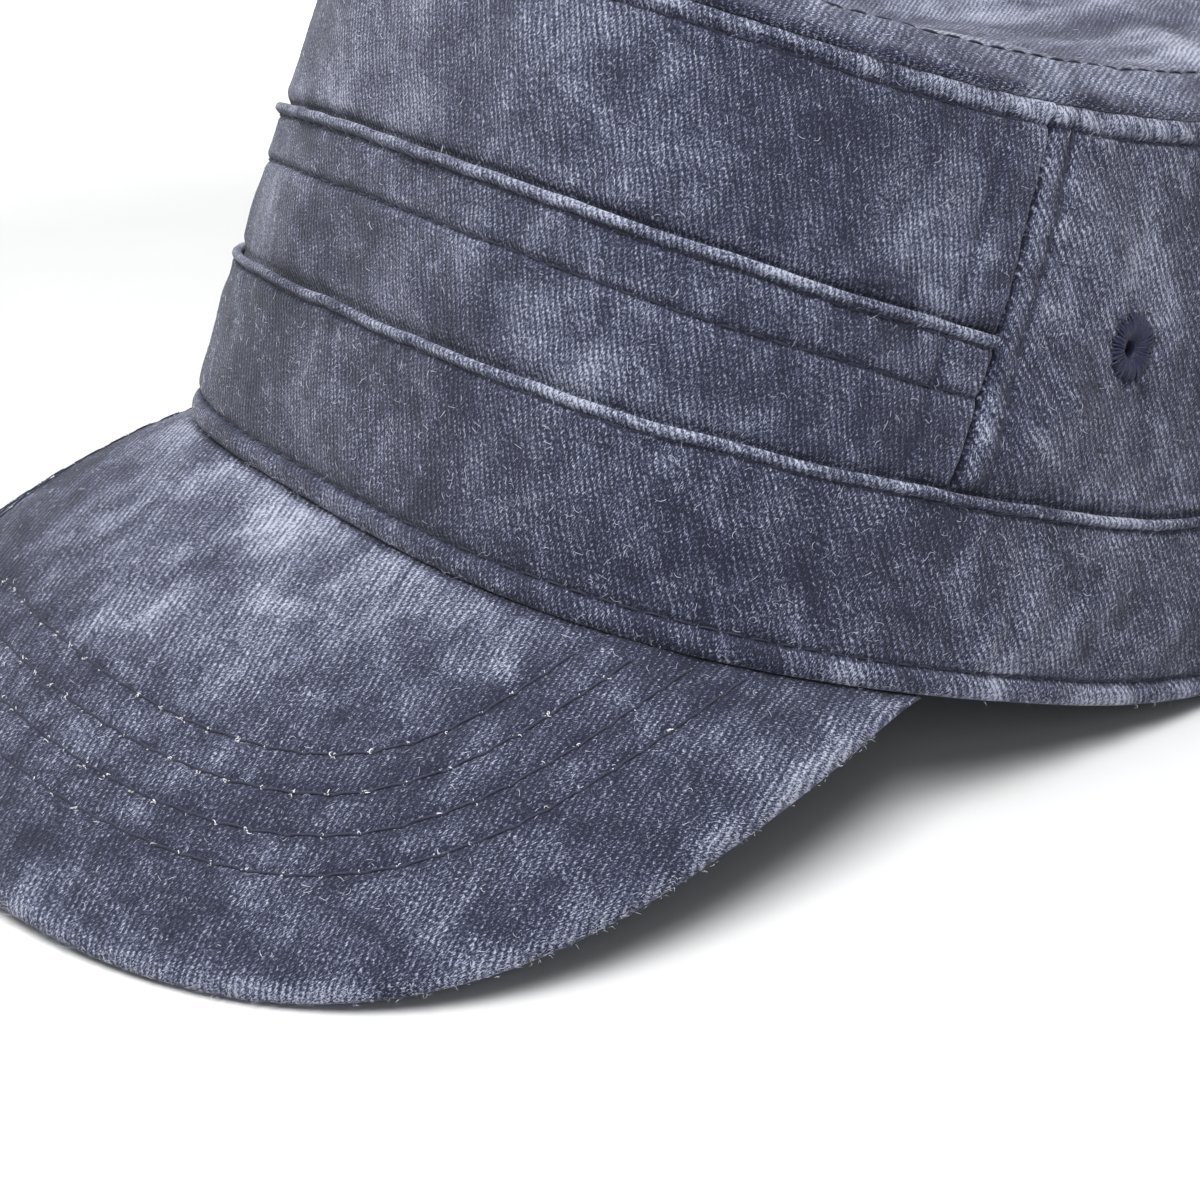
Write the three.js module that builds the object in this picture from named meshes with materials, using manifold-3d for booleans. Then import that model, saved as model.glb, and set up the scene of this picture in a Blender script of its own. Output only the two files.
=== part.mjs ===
// A washed cotton cadet cap: flat oval top, upright crown of four panels, hat band,
// curved peak and one sewn eyelet on each side. It rests on a level surface.
//
// Sizes are in millimetres. A turn is an angle in degrees round the head: 0 at the
// front, 90 at the wearer's left, 180 at the back. A height is measured up the wall
// from the hem, and an offset is measured outward from the wall's middle line.

import * as THREE from 'three';
import { mergeVertices } from 'three/addons/utils/BufferGeometryUtils.js';
import Module from 'manifold-3d';

const wasm = await Module();
wasm.setup();

// The two ovals that the wall stands between

const HEM = { halfLength: 100, halfWidth: 83.2, squareness: 3.1, setBack: 0 };
const RIM = { halfLength: 83, halfWidth: 69.9, squareness: 2.37, setBack: 6.9 };
const HEM_LIFT = { slope: 0.317, middle: 10.5, blend: 58 };
const RIM_LEVEL = { middle: 92.3, slope: -0.195, dip: 0.0017 };
const WALL_BULGE = 0.9;
const MID_LENGTH = 33.5;

// Seams and folded edges, as heights with a front-to-back and a front-to-side change

const BAND_RIDGE = { height: 30, frontBack: -0.8, frontSide: 0.9 };
const TUCK_RIDGE = { height: 53, frontBack: 0.4, frontSide: 2.35 };
const HEM_STITCH = { height: 3.7, frontBack: 0.6, frontSide: 0 };
const RIM_STRIP = { height: 3.9, frontBack: -1, frontSide: 0 };
const TUCK_STITCH_DROP = 9.3;
const SIDE_SEAM = { turn: 60.8, lean: 10.8, rise: 58 };
const SEAM_HALF_GAP = 0.12;
const ALLOWANCE = { width: 8, raise: 0.5 };

// Cloth thickness: each pair is the outer and the inner offset of a layer

const CLOTH = { outer: -0.5, inner: -2 };
const UNDER_BAND = { outer: -1.3, inner: -2.5 };
const UNDER_TUCK = { outer: -1.6, inner: -2.8 };
const LAP = 6.5;
const RIM_GAP = 1.2;

// The top panel's rise above the rim, by distance in from the rim

const TOP_THICKNESS = 1.6;
const TOP_RISE = [
  { inset: 0, rise: 0.6 },
  { inset: 2.2, rise: 2.1 },
  { inset: 4.8, rise: 3.6 },
  { inset: 7.9, rise: 4.2 },
  { inset: 15, rise: 4.9 },
  { inset: 30, rise: 3.9 },
  { inset: 48, rise: 3 },
];

// Peak

const PEAK = {
  cornerTurn: 59.1,
  reach: 119.5,
  roundness: 2.28,
  flare: 19,
  drop: -19,
  tipDrop: 1.6,
  shoulderDrop: -4.5,
  arch: 3.4,
  thickness: 2.8,
  tuckedIn: 2.2,
  hemGap: 0.35,
};

// Eyelets

const EYELET = { turn: 83.4, height: 54, radius: 4.5, barrel: 1.9, hole: 1.1, panelHole: 2.3 };

// Soft folds of the wall: where the middle lies, how it runs, and how far it stands out

const WALL_FOLDS = [
  { turn: 73, height: 41, slant: 38, length: 44, width: 5, rise: 1 },
  { turn: 101, height: 62, slant: 66, length: 40, width: 6.5, rise: 1.5 },
  { turn: 119, height: 46, slant: -52, length: 46, width: 7, rise: 1.3 },
  { turn: 139, height: 66, slant: 58, length: 42, width: 7, rise: 1.4 },
  { turn: 161, height: 50, slant: 84, length: 50, width: 8, rise: 1.2 },
  { turn: 22, height: 71, slant: 80, length: 30, width: 9, rise: 0.6 },
  { turn: -14, height: 38, slant: 86, length: 24, width: 9, rise: 0.5 },
  { turn: -77, height: 43, slant: -40, length: 44, width: 5, rise: 1 },
  { turn: -104, height: 60, slant: -62, length: 42, width: 7, rise: 1.4 },
  { turn: -131, height: 52, slant: 55, length: 46, width: 7, rise: 1.3 },
  { turn: -156, height: 64, slant: -70, length: 42, width: 8, rise: 1.2 },
];

// Soft folds of the top panel, with their middles in plan

const TOP_FOLDS = [
  { x: 44, y: -20, slant: 62, length: 44, width: 7, rise: 1.3 },
  { x: 24, y: 26, slant: 40, length: 60, width: 9, rise: 1.4 },
  { x: -22, y: -12, slant: -48, length: 56, width: 9, rise: 1.3 },
  { x: -34, y: 44, slant: 24, length: 46, width: 8, rise: 1.1 },
  { x: 8, y: 62, slant: 8, length: 44, width: 7, rise: 0.9 },
  { x: -4, y: -52, slant: -12, length: 36, width: 8, rise: 0.8 },
];

const FABRIC_COLOUR = 0x56607d;
const THREAD_COLOUR = 0x32395c;

const MM_PER_DEGREE = 1.55;
const radians = THREE.MathUtils.degToRad;
const lerp = THREE.MathUtils.lerp;

function fabric() {
  return new THREE.MeshStandardMaterial({ color: FABRIC_COLOUR, roughness: 0.95, metalness: 0 });
}

function thread() {
  return new THREE.MeshStandardMaterial({ color: THREAD_COLOUR, roughness: 0.6, metalness: 0 });
}

// Wall surface

function ovalPoint(oval, turn) {
  const sine = Math.sin(radians(turn));
  const cosine = Math.cos(radians(turn));
  const lengthTerm = Math.abs(cosine / oval.halfLength) ** oval.squareness;
  const widthTerm = Math.abs(sine / oval.halfWidth) ** oval.squareness;
  const reach = (lengthTerm + widthTerm) ** (-1 / oval.squareness);
  return new THREE.Vector3(reach * sine, oval.setBack - reach * cosine, 0);
}

function hemLevel(y) {
  const ahead = Math.max(HEM_LIFT.middle + HEM_LIFT.blend / 2 - y, 0);
  const eased = Math.min(ahead, HEM_LIFT.blend);
  return HEM_LIFT.slope * (eased ** 2 / (2 * HEM_LIFT.blend) + ahead - eased);
}

function rimLevel(y) {
  return RIM_LEVEL.middle + RIM_LEVEL.slope * y + RIM_LEVEL.dip * y ** 2;
}

function hemPoint(turn) {
  const point = ovalPoint(HEM, turn);
  point.z = hemLevel(point.y);
  return point;
}

function rimPoint(turn) {
  const point = ovalPoint(RIM, turn);
  point.z = rimLevel(point.y);
  return point;
}

function wallHeight(turn) {
  return hemPoint(turn).distanceTo(rimPoint(turn));
}

function outwardAt(turn) {
  const step = 0.5;
  const across = hemPoint(turn + step).sub(hemPoint(turn - step));
  across.add(rimPoint(turn + step).sub(rimPoint(turn - step)));
  const up = rimPoint(turn).sub(hemPoint(turn));
  return across.cross(up).normalize();
}

function foldRise(fold, u, v) {
  const run = u * Math.cos(radians(fold.slant)) + v * Math.sin(radians(fold.slant));
  const side = v * Math.cos(radians(fold.slant)) - u * Math.sin(radians(fold.slant));
  const fade = Math.cos(Math.PI * THREE.MathUtils.clamp(run / fold.length, -0.5, 0.5));
  return fold.rise * fade * Math.exp(-((side / fold.width) ** 2));
}

function wallFoldRise(turn, height) {
  const top = wallHeight(turn);
  const ridge = levelAt(BAND_RIDGE, turn);
  const ease = THREE.MathUtils.smoothstep(height, ridge, ridge + 8);
  const easeTop = 1 - THREE.MathUtils.smoothstep(height, top - 14, top - 4);
  let rise = 0;
  for (const fold of WALL_FOLDS) {
    const round = THREE.MathUtils.euclideanModulo(turn - fold.turn + 180, 360) - 180;
    rise += foldRise(fold, round * MM_PER_DEGREE, height - fold.height);
  }
  return rise * ease * easeTop * eyeletFlatness(turn, height);
}

function eyeletFlatness(turn, height) {
  const across = (Math.abs(turn) - EYELET.turn) * MM_PER_DEGREE;
  const away = Math.hypot(across, height - EYELET.height);
  return THREE.MathUtils.smoothstep(away, 2 * EYELET.radius, 4 * EYELET.radius);
}

function wallPoint(turn, height, offset) {
  const foot = hemPoint(turn);
  const rim = rimPoint(turn);
  const along = height / foot.distanceTo(rim);
  const bulge = WALL_BULGE * 4 * along * (1 - along);
  const point = foot.lerp(rim, along);
  return point.addScaledVector(outwardAt(turn), offset + bulge + wallFoldRise(turn, height));
}

function footPoint(turn, offset) {
  const outward = outwardAt(turn).setZ(0).normalize();
  return hemPoint(turn).addScaledVector(outward, offset);
}

function levelAt(line, turn) {
  const frontBack = line.frontBack * Math.cos(radians(turn));
  const frontSide = line.frontSide * Math.cos(2 * radians(turn));
  return line.height + frontBack + frontSide;
}

function seamTurn(height) {
  return SIDE_SEAM.turn + (SIDE_SEAM.lean * (height - BAND_RIDGE.height)) / SIDE_SEAM.rise;
}

// Solids

function shellGeometry(outerRows, innerRows, closed) {
  const columns = outerRows.length;
  const courses = outerRows[0].length;
  const positions = [];
  for (const rows of [outerRows, innerRows]) {
    for (const row of rows) {
      for (const point of row) positions.push(point.x, point.y, point.z);
    }
  }
  const outer = (i, j) => (i % columns) * courses + j;
  const inner = (i, j) => columns * courses + outer(i, j);
  const index = [];
  const quad = (a, b, c, d) => index.push(a, b, c, a, c, d);
  const spans = closed ? columns : columns - 1;
  for (let i = 0; i < spans; i++) {
    for (let j = 0; j < courses - 1; j++) {
      quad(outer(i, j), outer(i + 1, j), outer(i + 1, j + 1), outer(i, j + 1));
      quad(inner(i, j), inner(i, j + 1), inner(i + 1, j + 1), inner(i + 1, j));
    }
    const last = courses - 1;
    quad(outer(i, 0), inner(i, 0), inner(i + 1, 0), outer(i + 1, 0));
    quad(outer(i, last), outer(i + 1, last), inner(i + 1, last), inner(i, last));
  }
  if (!closed) {
    const end = columns - 1;
    for (let j = 0; j < courses - 1; j++) {
      quad(outer(0, j), outer(0, j + 1), inner(0, j + 1), inner(0, j));
      quad(outer(end, j), inner(end, j), inner(end, j + 1), outer(end, j + 1));
    }
  }
  return indexedGeometry(positions, index);
}

function cappedGeometry(upperRows, lowerRows, upperMiddle, lowerMiddle) {
  const columns = upperRows.length;
  const rings = upperRows[0].length;
  const positions = [];
  for (const rows of [upperRows, lowerRows]) {
    for (const row of rows) {
      for (const point of row) positions.push(point.x, point.y, point.z);
    }
  }
  for (const point of [upperMiddle, lowerMiddle]) positions.push(point.x, point.y, point.z);
  const upper = (i, j) => (i % columns) * rings + j;
  const lower = (i, j) => columns * rings + upper(i, j);
  const middle = 2 * columns * rings;
  const last = rings - 1;
  const index = [];
  const quad = (a, b, c, d) => index.push(a, b, c, a, c, d);
  for (let i = 0; i < columns; i++) {
    for (let j = 0; j < last; j++) {
      quad(upper(i, j), upper(i + 1, j), upper(i + 1, j + 1), upper(i, j + 1));
      quad(lower(i, j), lower(i, j + 1), lower(i + 1, j + 1), lower(i + 1, j));
    }
    quad(upper(i, 0), lower(i, 0), lower(i + 1, 0), upper(i + 1, 0));
    index.push(upper(i, last), upper(i + 1, last), middle);
    index.push(lower(i + 1, last), lower(i, last), middle + 1);
  }
  return indexedGeometry(positions, index);
}

function indexedGeometry(positions, index) {
  const geometry = new THREE.BufferGeometry();
  geometry.setAttribute('position', new THREE.Float32BufferAttribute(positions, 3));
  geometry.setIndex(index);
  geometry.computeVertexNormals();
  return geometry;
}

function solidOf(geometry) {
  const plain = geometry.clone();
  plain.deleteAttribute('normal');
  plain.deleteAttribute('uv');
  const merged = mergeVertices(plain, 1e-4);
  const vertProperties = new Float32Array(merged.attributes.position.array);
  const triVerts = new Uint32Array(merged.index.array);
  return new wasm.Manifold(new wasm.Mesh({ numProp: 3, vertProperties, triVerts }));
}

function geometryOf(solid) {
  const mesh = solid.getMesh();
  return indexedGeometry(Array.from(mesh.vertProperties), Array.from(mesh.triVerts));
}

function wallGeometry({ start, end, columns, closed, courses }) {
  const outerRows = [];
  const innerRows = [];
  for (let i = 0; i < columns + (closed ? 0 : 1); i++) {
    const outerRow = [];
    const innerRow = [];
    for (const course of courses) {
      let turn = lerp(start(0), end(0), i / columns);
      turn = lerp(start(course.height(turn)), end(course.height(turn)), i / columns);
      const height = course.height(turn);
      const extra = course.allowance ? allowanceRaise(turn, height) : 0;
      if (course.foot) {
        outerRow.push(footPoint(turn, course.outer));
        innerRow.push(footPoint(turn, course.inner));
      } else {
        outerRow.push(wallPoint(turn, height, course.outer + extra));
        innerRow.push(wallPoint(turn, height, course.inner + extra));
      }
    }
    outerRows.push(outerRow);
    innerRows.push(innerRow);
  }
  return shellGeometry(outerRows, innerRows, closed);
}

function allowanceRaise(turn, height) {
  const away = (seamTurn(height) - Math.abs(turn)) * MM_PER_DEGREE;
  return away > 0 && away < ALLOWANCE.width ? ALLOWANCE.raise : 0;
}

function course(height, layer, more = {}) {
  return { height, outer: layer.outer, inner: layer.inner, ...more };
}

// Crown panels

function lapCourses(ridge, under) {
  return [
    course((turn) => levelAt(ridge, turn) - LAP, under),
    course((turn) => levelAt(ridge, turn) + 0.2, under),
    course((turn) => levelAt(ridge, turn) + 1.8, CLOTH, { allowance: true }),
  ];
}

function stretchCourses(low, high, count) {
  const courses = [];
  for (let k = 1; k <= count; k++) {
    const along = k / (count + 1);
    courses.push(course((turn) => lerp(low(turn), high(turn), along), CLOTH, { allowance: true }));
  }
  return courses;
}

function rimCourses() {
  const strip = (turn) => wallHeight(turn) - levelAt(RIM_STRIP, turn);
  return [
    course((turn) => strip(turn) - 1.6, CLOTH, { allowance: true }),
    course(strip, { outer: -0.8, inner: -2 }),
    course((turn) => wallHeight(turn) - 2.1, { outer: 0.1, inner: -1.6 }),
    course((turn) => wallHeight(turn) - RIM_GAP, { outer: -0.3, inner: -1.8 }),
  ];
}

function topPanel() {
  const columns = 64;
  const upperRows = [];
  const lowerRows = [];
  for (let i = 0; i < columns; i++) {
    const turn = (360 * i) / columns - 180;
    const upperRow = [];
    const lowerRow = [];
    for (const { inset, rise } of TOP_RISE) {
      const upper = topPoint(turn, inset, rise);
      const lower = upper.clone();
      lower.z -= TOP_THICKNESS;
      upperRow.push(upper);
      lowerRow.push(lower);
    }
    lowerRow[0].z = upperRow[0].z - 1.4;
    upperRows.push(upperRow);
    lowerRows.push(lowerRow);
  }
  const upperMiddle = new THREE.Vector3(0, RIM.setBack, rimLevel(RIM.setBack) + 2.6);
  upperMiddle.z += topFoldRise(upperMiddle.x, upperMiddle.y);
  const lowerMiddle = upperMiddle.clone();
  lowerMiddle.z -= TOP_THICKNESS;
  const geometry = cappedGeometry(upperRows, lowerRows, upperMiddle, lowerMiddle);
  return namedMesh('top_panel', geometry, fabric());
}

function topPoint(turn, inset, rise) {
  const rim = rimPoint(turn);
  const middle = new THREE.Vector3(0, RIM.setBack, rim.z);
  const reach = rim.distanceTo(middle);
  const point = middle.lerp(rim, 1 - (inset + 0.3) / reach);
  const settle = THREE.MathUtils.smoothstep(inset, 7, 22);
  point.z = rimLevel(point.y) + rise + topFoldRise(point.x, point.y) * settle;
  return point;
}

function topFoldRise(x, y) {
  let rise = 0;
  for (const fold of TOP_FOLDS) rise += foldRise(fold, x - fold.x, y - fold.y);
  return rise;
}

function frontUpperPanel() {
  const low = (turn) => levelAt(TUCK_RIDGE, turn) + 1.8;
  const high = (turn) => wallHeight(turn) - levelAt(RIM_STRIP, turn) - 1.6;
  const geometry = wallGeometry({
    start: (height) => SEAM_HALF_GAP - seamTurn(height),
    end: (height) => seamTurn(height) - SEAM_HALF_GAP,
    columns: 28,
    courses: [...lapCourses(TUCK_RIDGE, UNDER_TUCK), ...stretchCourses(low, high, 3), ...rimCourses()],
  });
  return namedMesh('front_upper_panel', geometry, fabric());
}

function frontLowerPanel() {
  const tuck = (drop) => (turn) => levelAt(TUCK_RIDGE, turn) - drop;
  const geometry = wallGeometry({
    start: (height) => SEAM_HALF_GAP - seamTurn(height),
    end: (height) => seamTurn(height) - SEAM_HALF_GAP,
    columns: 28,
    courses: [
      ...lapCourses(BAND_RIDGE, UNDER_BAND),
      course(tuck(TUCK_STITCH_DROP + 1.4), CLOTH, { allowance: true }),
      course(tuck(TUCK_STITCH_DROP), { outer: -0.8, inner: -2 }),
      course(tuck(TUCK_STITCH_DROP - 1.2), { outer: -0.3, inner: -1.6 }),
      course(tuck(TUCK_STITCH_DROP - 1.6), { outer: -0.3, inner: -1.3 }),
      course(tuck(1.6), { outer: -0.3, inner: -1.3 }),
      course(tuck(0.5), { outer: 0.6, inner: -1.3 }),
      course(tuck(0), { outer: 0.2, inner: -1.3 }),
    ],
  });
  return namedMesh('front_lower_panel', geometry, fabric());
}

function sidePanel(side) {
  const low = (turn) => levelAt(BAND_RIDGE, turn) + 1.8;
  const high = (turn) => wallHeight(turn) - levelAt(RIM_STRIP, turn) - 1.6;
  const seam = (height) => seamTurn(height) + SEAM_HALF_GAP;
  const back = () => 180 - SEAM_HALF_GAP;
  const geometry = wallGeometry({
    start: side > 0 ? seam : (height) => -back(height),
    end: side > 0 ? back : (height) => -seam(height),
    columns: 33,
    courses: [...lapCourses(BAND_RIDGE, UNDER_BAND), ...stretchCourses(low, high, 6), ...rimCourses()],
  });
  const drill = new THREE.CylinderGeometry(EYELET.panelHole, EYELET.panelHole, 10, 14);
  drill.applyMatrix4(eyeletPlace(side));
  const panel = solidOf(geometry).subtract(solidOf(drill));
  const name = side > 0 ? 'side_panel_left' : 'side_panel_right';
  return namedMesh(name, geometryOf(panel), fabric());
}

// Hat band with its lapped upper edge and turned hem

function hatBand() {
  const ridge = (drop) => (turn) => levelAt(BAND_RIDGE, turn) - drop;
  const stitch = (rise) => (turn) => levelAt(HEM_STITCH, turn) + rise;
  const geometry = wallGeometry({
    start: () => -180,
    end: () => 180,
    columns: 72,
    closed: true,
    courses: [
      course(() => 0, { outer: 0, inner: -1.8 }, { foot: true }),
      course(() => 1.5, { outer: 0.7, inner: -1.7 }),
      course(stitch(0), { outer: -0.2, inner: -1.7 }),
      course(stitch(1.6), { outer: 0.25, inner: -1.7 }),
      course(ridge(LAP + 2), { outer: 0.25, inner: -1.7 }),
      course(ridge(LAP + 1.2), { outer: 0.25, inner: -1 }),
      course(ridge(1.6), { outer: 0.1, inner: -1 }),
      course(ridge(0.5), { outer: 0.9, inner: -1 }),
      course(ridge(0), { outer: 0.5, inner: -1 }),
    ],
  });
  return namedMesh('hat_band', geometry, fabric());
}

// Peak

function peakEdgePoint(swing) {
  const corner = hemPoint(PEAK.cornerTurn);
  const sine = Math.sin(radians(swing));
  const cosine = Math.max(Math.cos(radians(swing)), 0);
  const power = 2 / PEAK.roundness;
  const flare = PEAK.flare * Math.sin(2 * radians(swing));
  const x = Math.sign(sine) * corner.x * Math.abs(sine) ** power + flare;
  const y = corner.y - PEAK.reach * cosine ** power;
  const shoulder = PEAK.shoulderDrop * Math.sin(2 * radians(swing)) ** 2;
  const z = corner.z + PEAK.drop * cosine + PEAK.tipDrop * cosine ** 2 + shoulder;
  return new THREE.Vector3(x, y, Math.max(z, 0));
}

function peakRib(turn) {
  const remaining = 1 - Math.abs(turn) / PEAK.cornerTurn;
  const swing = Math.sign(turn) * 90 * (1 - remaining ** 1.22);
  return { root: hemPoint(turn), edge: peakEdgePoint(swing), swing };
}

function peakPoint(turn, along) {
  const { root, edge, swing } = peakRib(turn);
  root.z -= PEAK.hemGap;
  edge.z += lerp(-PEAK.hemGap, PEAK.thickness, Math.cos(radians(swing)) ** 0.4);
  const arch = PEAK.arch * 4 * along * (1 - along) * Math.cos(radians(swing));
  const point = root.lerp(edge, along);
  point.z += arch;
  return point;
}

function peak() {
  const columns = 44;
  const lastTurn = 0.97 * PEAK.cornerTurn;
  const upperRows = [];
  const lowerRows = [];
  for (let i = 0; i <= columns; i++) {
    const turn = lerp(-lastTurn, lastTurn, i / columns);
    const edge = peakPoint(turn, 1);
    const width = edge.distanceTo(peakPoint(turn, 0));
    const rounding = Math.min(1.2 / width, 0.3);
    const upperRow = [edge.clone().setZ(edge.z - 1.1)];
    const lowerRow = [edge.clone().setZ(edge.z - 2)];
    for (const station of [1, 0.82, 0.62, 0.42, 0.22, 0]) {
      const upper = peakPoint(turn, (1 - rounding) * station);
      upperRow.push(upper);
      lowerRow.push(upper.clone().setZ(Math.max(upper.z - PEAK.thickness, 0)));
    }
    const root = footPoint(turn, -PEAK.tuckedIn);
    root.z -= PEAK.hemGap;
    upperRow.push(root);
    lowerRow.push(root.clone().setZ(root.z - PEAK.thickness));
    upperRows.push(upperRow);
    lowerRows.push(lowerRow);
  }
  return namedMesh('peak', shellGeometry(upperRows, lowerRows, false), fabric());
}

// Eyelets

function eyeletPlace(side) {
  const { turn, height } = EYELET;
  const place = wallPoint(side * turn, height, CLOTH.outer);
  const across = wallPoint(side * turn + 2, height, 0).sub(wallPoint(side * turn - 2, height, 0));
  const up = wallPoint(side * turn, height + 3, 0).sub(wallPoint(side * turn, height - 3, 0));
  const outward = across.cross(up).normalize();
  const swing = new THREE.Quaternion().setFromUnitVectors(new THREE.Vector3(0, 1, 0), outward);
  return new THREE.Matrix4().compose(place, swing, new THREE.Vector3(1, 1, 1));
}

function eyelet(side) {
  const profile = [
    new THREE.Vector2(EYELET.hole, -1.9),
    new THREE.Vector2(EYELET.barrel, -1.9),
    new THREE.Vector2(EYELET.barrel, 0.3),
    new THREE.Vector2(EYELET.radius, 0.3),
    new THREE.Vector2(EYELET.radius - 0.1, 0.6),
    new THREE.Vector2(EYELET.radius - 0.9, 1),
    new THREE.Vector2(EYELET.barrel + 0.3, 1.1),
    new THREE.Vector2(EYELET.hole, 0.4),
    new THREE.Vector2(EYELET.hole, -1.9),
  ];
  const geometry = new THREE.LatheGeometry(profile, 16);
  const name = side > 0 ? 'eyelet_left' : 'eyelet_right';
  const mesh = namedMesh(name, geometry, thread());
  mesh.applyMatrix4(eyeletPlace(side));
  return mesh;
}

function namedMesh(name, geometry, material) {
  const mesh = new THREE.Mesh(geometry, material);
  mesh.name = name;
  return mesh;
}

const cap = new THREE.Group();
cap.add(topPanel(), frontUpperPanel(), frontLowerPanel());
for (const side of [1, -1]) cap.add(sidePanel(side), eyelet(side));
cap.add(hatBand(), peak());
cap.position.y = MID_LENGTH;

export default cap;
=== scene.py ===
"""The looks of a washed cotton cadet cap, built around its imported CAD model.

Lengths are in millimetres and become metres where a mesh is made. A turn is an angle
in degrees round the head: 0 at the front, 90 at the wearer's left, 180 at the back.
A height is measured up the wall from the hem, and an offset outward from the wall's
middle line. The wall, top and peak follow the same named values as the part's source.
"""

import itertools
import math

import bpy
import numpy as np
from mathutils import Matrix, Vector
from mathutils.bvhtree import BVHTree


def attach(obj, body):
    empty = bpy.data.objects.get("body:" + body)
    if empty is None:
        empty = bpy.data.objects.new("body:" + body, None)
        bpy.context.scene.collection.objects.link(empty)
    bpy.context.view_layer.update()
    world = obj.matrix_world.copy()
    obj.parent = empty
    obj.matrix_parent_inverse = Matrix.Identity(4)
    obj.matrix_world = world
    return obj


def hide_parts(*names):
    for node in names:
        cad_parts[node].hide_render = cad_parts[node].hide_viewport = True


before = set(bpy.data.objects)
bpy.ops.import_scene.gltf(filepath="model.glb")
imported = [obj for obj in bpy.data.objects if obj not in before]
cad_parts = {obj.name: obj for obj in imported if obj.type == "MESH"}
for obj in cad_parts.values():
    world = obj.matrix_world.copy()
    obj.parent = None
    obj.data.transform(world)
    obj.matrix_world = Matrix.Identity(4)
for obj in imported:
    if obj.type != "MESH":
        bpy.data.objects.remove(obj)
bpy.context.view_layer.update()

METRE = 0.001
MID_LENGTH = 33.5
MM_PER_DEGREE = 1.55
SEAM_GAP = 0.06

# Shape shared with the part's source

HEM = {"half_length": 100, "half_width": 83.2, "squareness": 3.1, "set_back": 0}
RIM = {"half_length": 83, "half_width": 69.9, "squareness": 2.37, "set_back": 6.9}
HEM_LIFT = {"slope": 0.317, "middle": 10.5, "blend": 58}
RIM_LEVEL = {"middle": 92.3, "slope": -0.195, "dip": 0.0017}
WALL_BULGE = 0.9

BAND_RIDGE = {"height": 30, "front_back": -0.8, "front_side": 0.9}
TUCK_RIDGE = {"height": 53, "front_back": 0.4, "front_side": 2.35}
HEM_STITCH = {"height": 3.7, "front_back": 0.6, "front_side": 0}
RIM_STRIP = {"height": 3.9, "front_back": -1, "front_side": 0}
TUCK_STITCH_DROP = 9.3
SIDE_SEAM = {"turn": 60.8, "lean": 10.8, "rise": 58}
ALLOWANCE = {"width": 8, "raise": 0.38}

TOP_INSETS = [0, 2.2, 4.8, 8.8, 15, 30, 48, 76]
TOP_RISES = [0.6, 2.3, 4.1, 5.5, 5.5, 4.1, 3, 2.6]
TOP_THICKNESS = 1.6

PEAK = {
    "corner_turn": 59.1, "reach": 119.5, "roundness": 2.28, "flare": 19, "drop": -19,
    "tip_drop": 1.6, "shoulder_drop": -4.5, "arch": 3.4, "thickness": 2.8,
    "tucked_in": 2.2, "hem_gap": 0.35,
}
EYELET = {"turn": 83.4, "height": 54, "radius": 4.5, "barrel": 1.9, "hole": 1.1}

# Soft folds of the wall: turn, height, slant, length, width, rise

WALL_FOLDS = [
    (73, 41, 38, 44, 5, 1), (101, 62, 66, 40, 6.5, 1.5), (119, 46, -52, 46, 7, 1.3),
    (139, 66, 58, 42, 7, 1.4), (161, 50, 84, 50, 8, 1.2), (22, 71, 80, 30, 9, 0.6),
    (-14, 38, 86, 24, 9, 0.5), (-77, 43, -40, 44, 5, 1), (-104, 60, -62, 42, 7, 1.4),
    (-131, 52, 55, 46, 7, 1.3), (-156, 64, -70, 42, 8, 1.2),
]
BAND_FOLDS = [
    (65, 8, 64, 13, 1.6, 0.75), (69, 9, 50, 18, 2.0, 0.6), (78, 14, 34, 34, 3.0, 0.7),
    (92, 12, 28, 38, 3.4, 0.6), (109, 15, -30, 40, 4.0, 0.6), (128, 12, 36, 36, 3.6, 0.5),
    (150, 16, -24, 40, 4.2, 0.5), (-68, 10, -56, 20, 2.2, 0.6), (-84, 14, -34, 34, 3.2, 0.6),
    (-112, 13, 30, 40, 4.0, 0.6), (-140, 15, -32, 38, 3.8, 0.5), (36, 15, 80, 20, 4.5, 0.3),
    (5, 12, 70, 20, 5, 0.3), (-30, 16, -76, 22, 4.5, 0.4),
]

# Soft folds of the top panel: x, y, slant, length, width, rise

TOP_FOLDS = [
    (44, -20, 62, 44, 7, 1.3), (24, 26, 40, 60, 9, 1.4), (-22, -12, -48, 56, 9, 1.3),
    (-34, 44, 24, 46, 8, 1.1), (27, 52, -38, 90, 5, 1.5), (-4, -52, -12, 36, 8, 0.8),
]

# Stitching

STITCH = 3.7
PEAK_STITCH = 5.0
PEAK_ROWS = [13.2, 18.2, 23.7, 29.2]
EDGE_STITCH_DROP = 1.95
SIDE_TOPSTITCH = 4.7
TOP_STITCH_INSET = 8.8
THREAD_RADIUS = 0.2

# The way the twill's ribs run on each panel: degrees from the panel's own level, pitch

FRONT_RIBS = (112, 0.83)
BAND_RIBS = (109, 0.9)
SIDE_RIBS = (130, 1.03)
TOP_RIBS = (124, 0.84)
PEAK_RIBS = (117, 0.88)
FLOAT_LEAN = -40

# The photograph's camera, fitted to the cap's seams, for a frame 1200 pixels wide

CAMERA = {"azimuth": 53.2308, "elevation": 23.9084, "roll": 0.1117, "distance": 414.393}
FOCAL_PIXELS = 2291.84
FRAME_PIXELS = 1200
ORIGIN_PIXEL = (797.097, 559.135)
SENSOR = 36

rng = np.random.default_rng(41)
surfaces = {}


# Steady noise and easing

def smooth(low, high, value):
    """Eases from 0 at low to 1 at high."""
    part = np.clip((value - low) / (high - low), 0, 1)
    return part * part * (3 - 2 * part)


def bump(distance, width):
    return np.exp(-((distance / width) ** 2))


def fade(distance, reach):
    return np.exp(-np.maximum(distance, 0) / reach)


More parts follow.
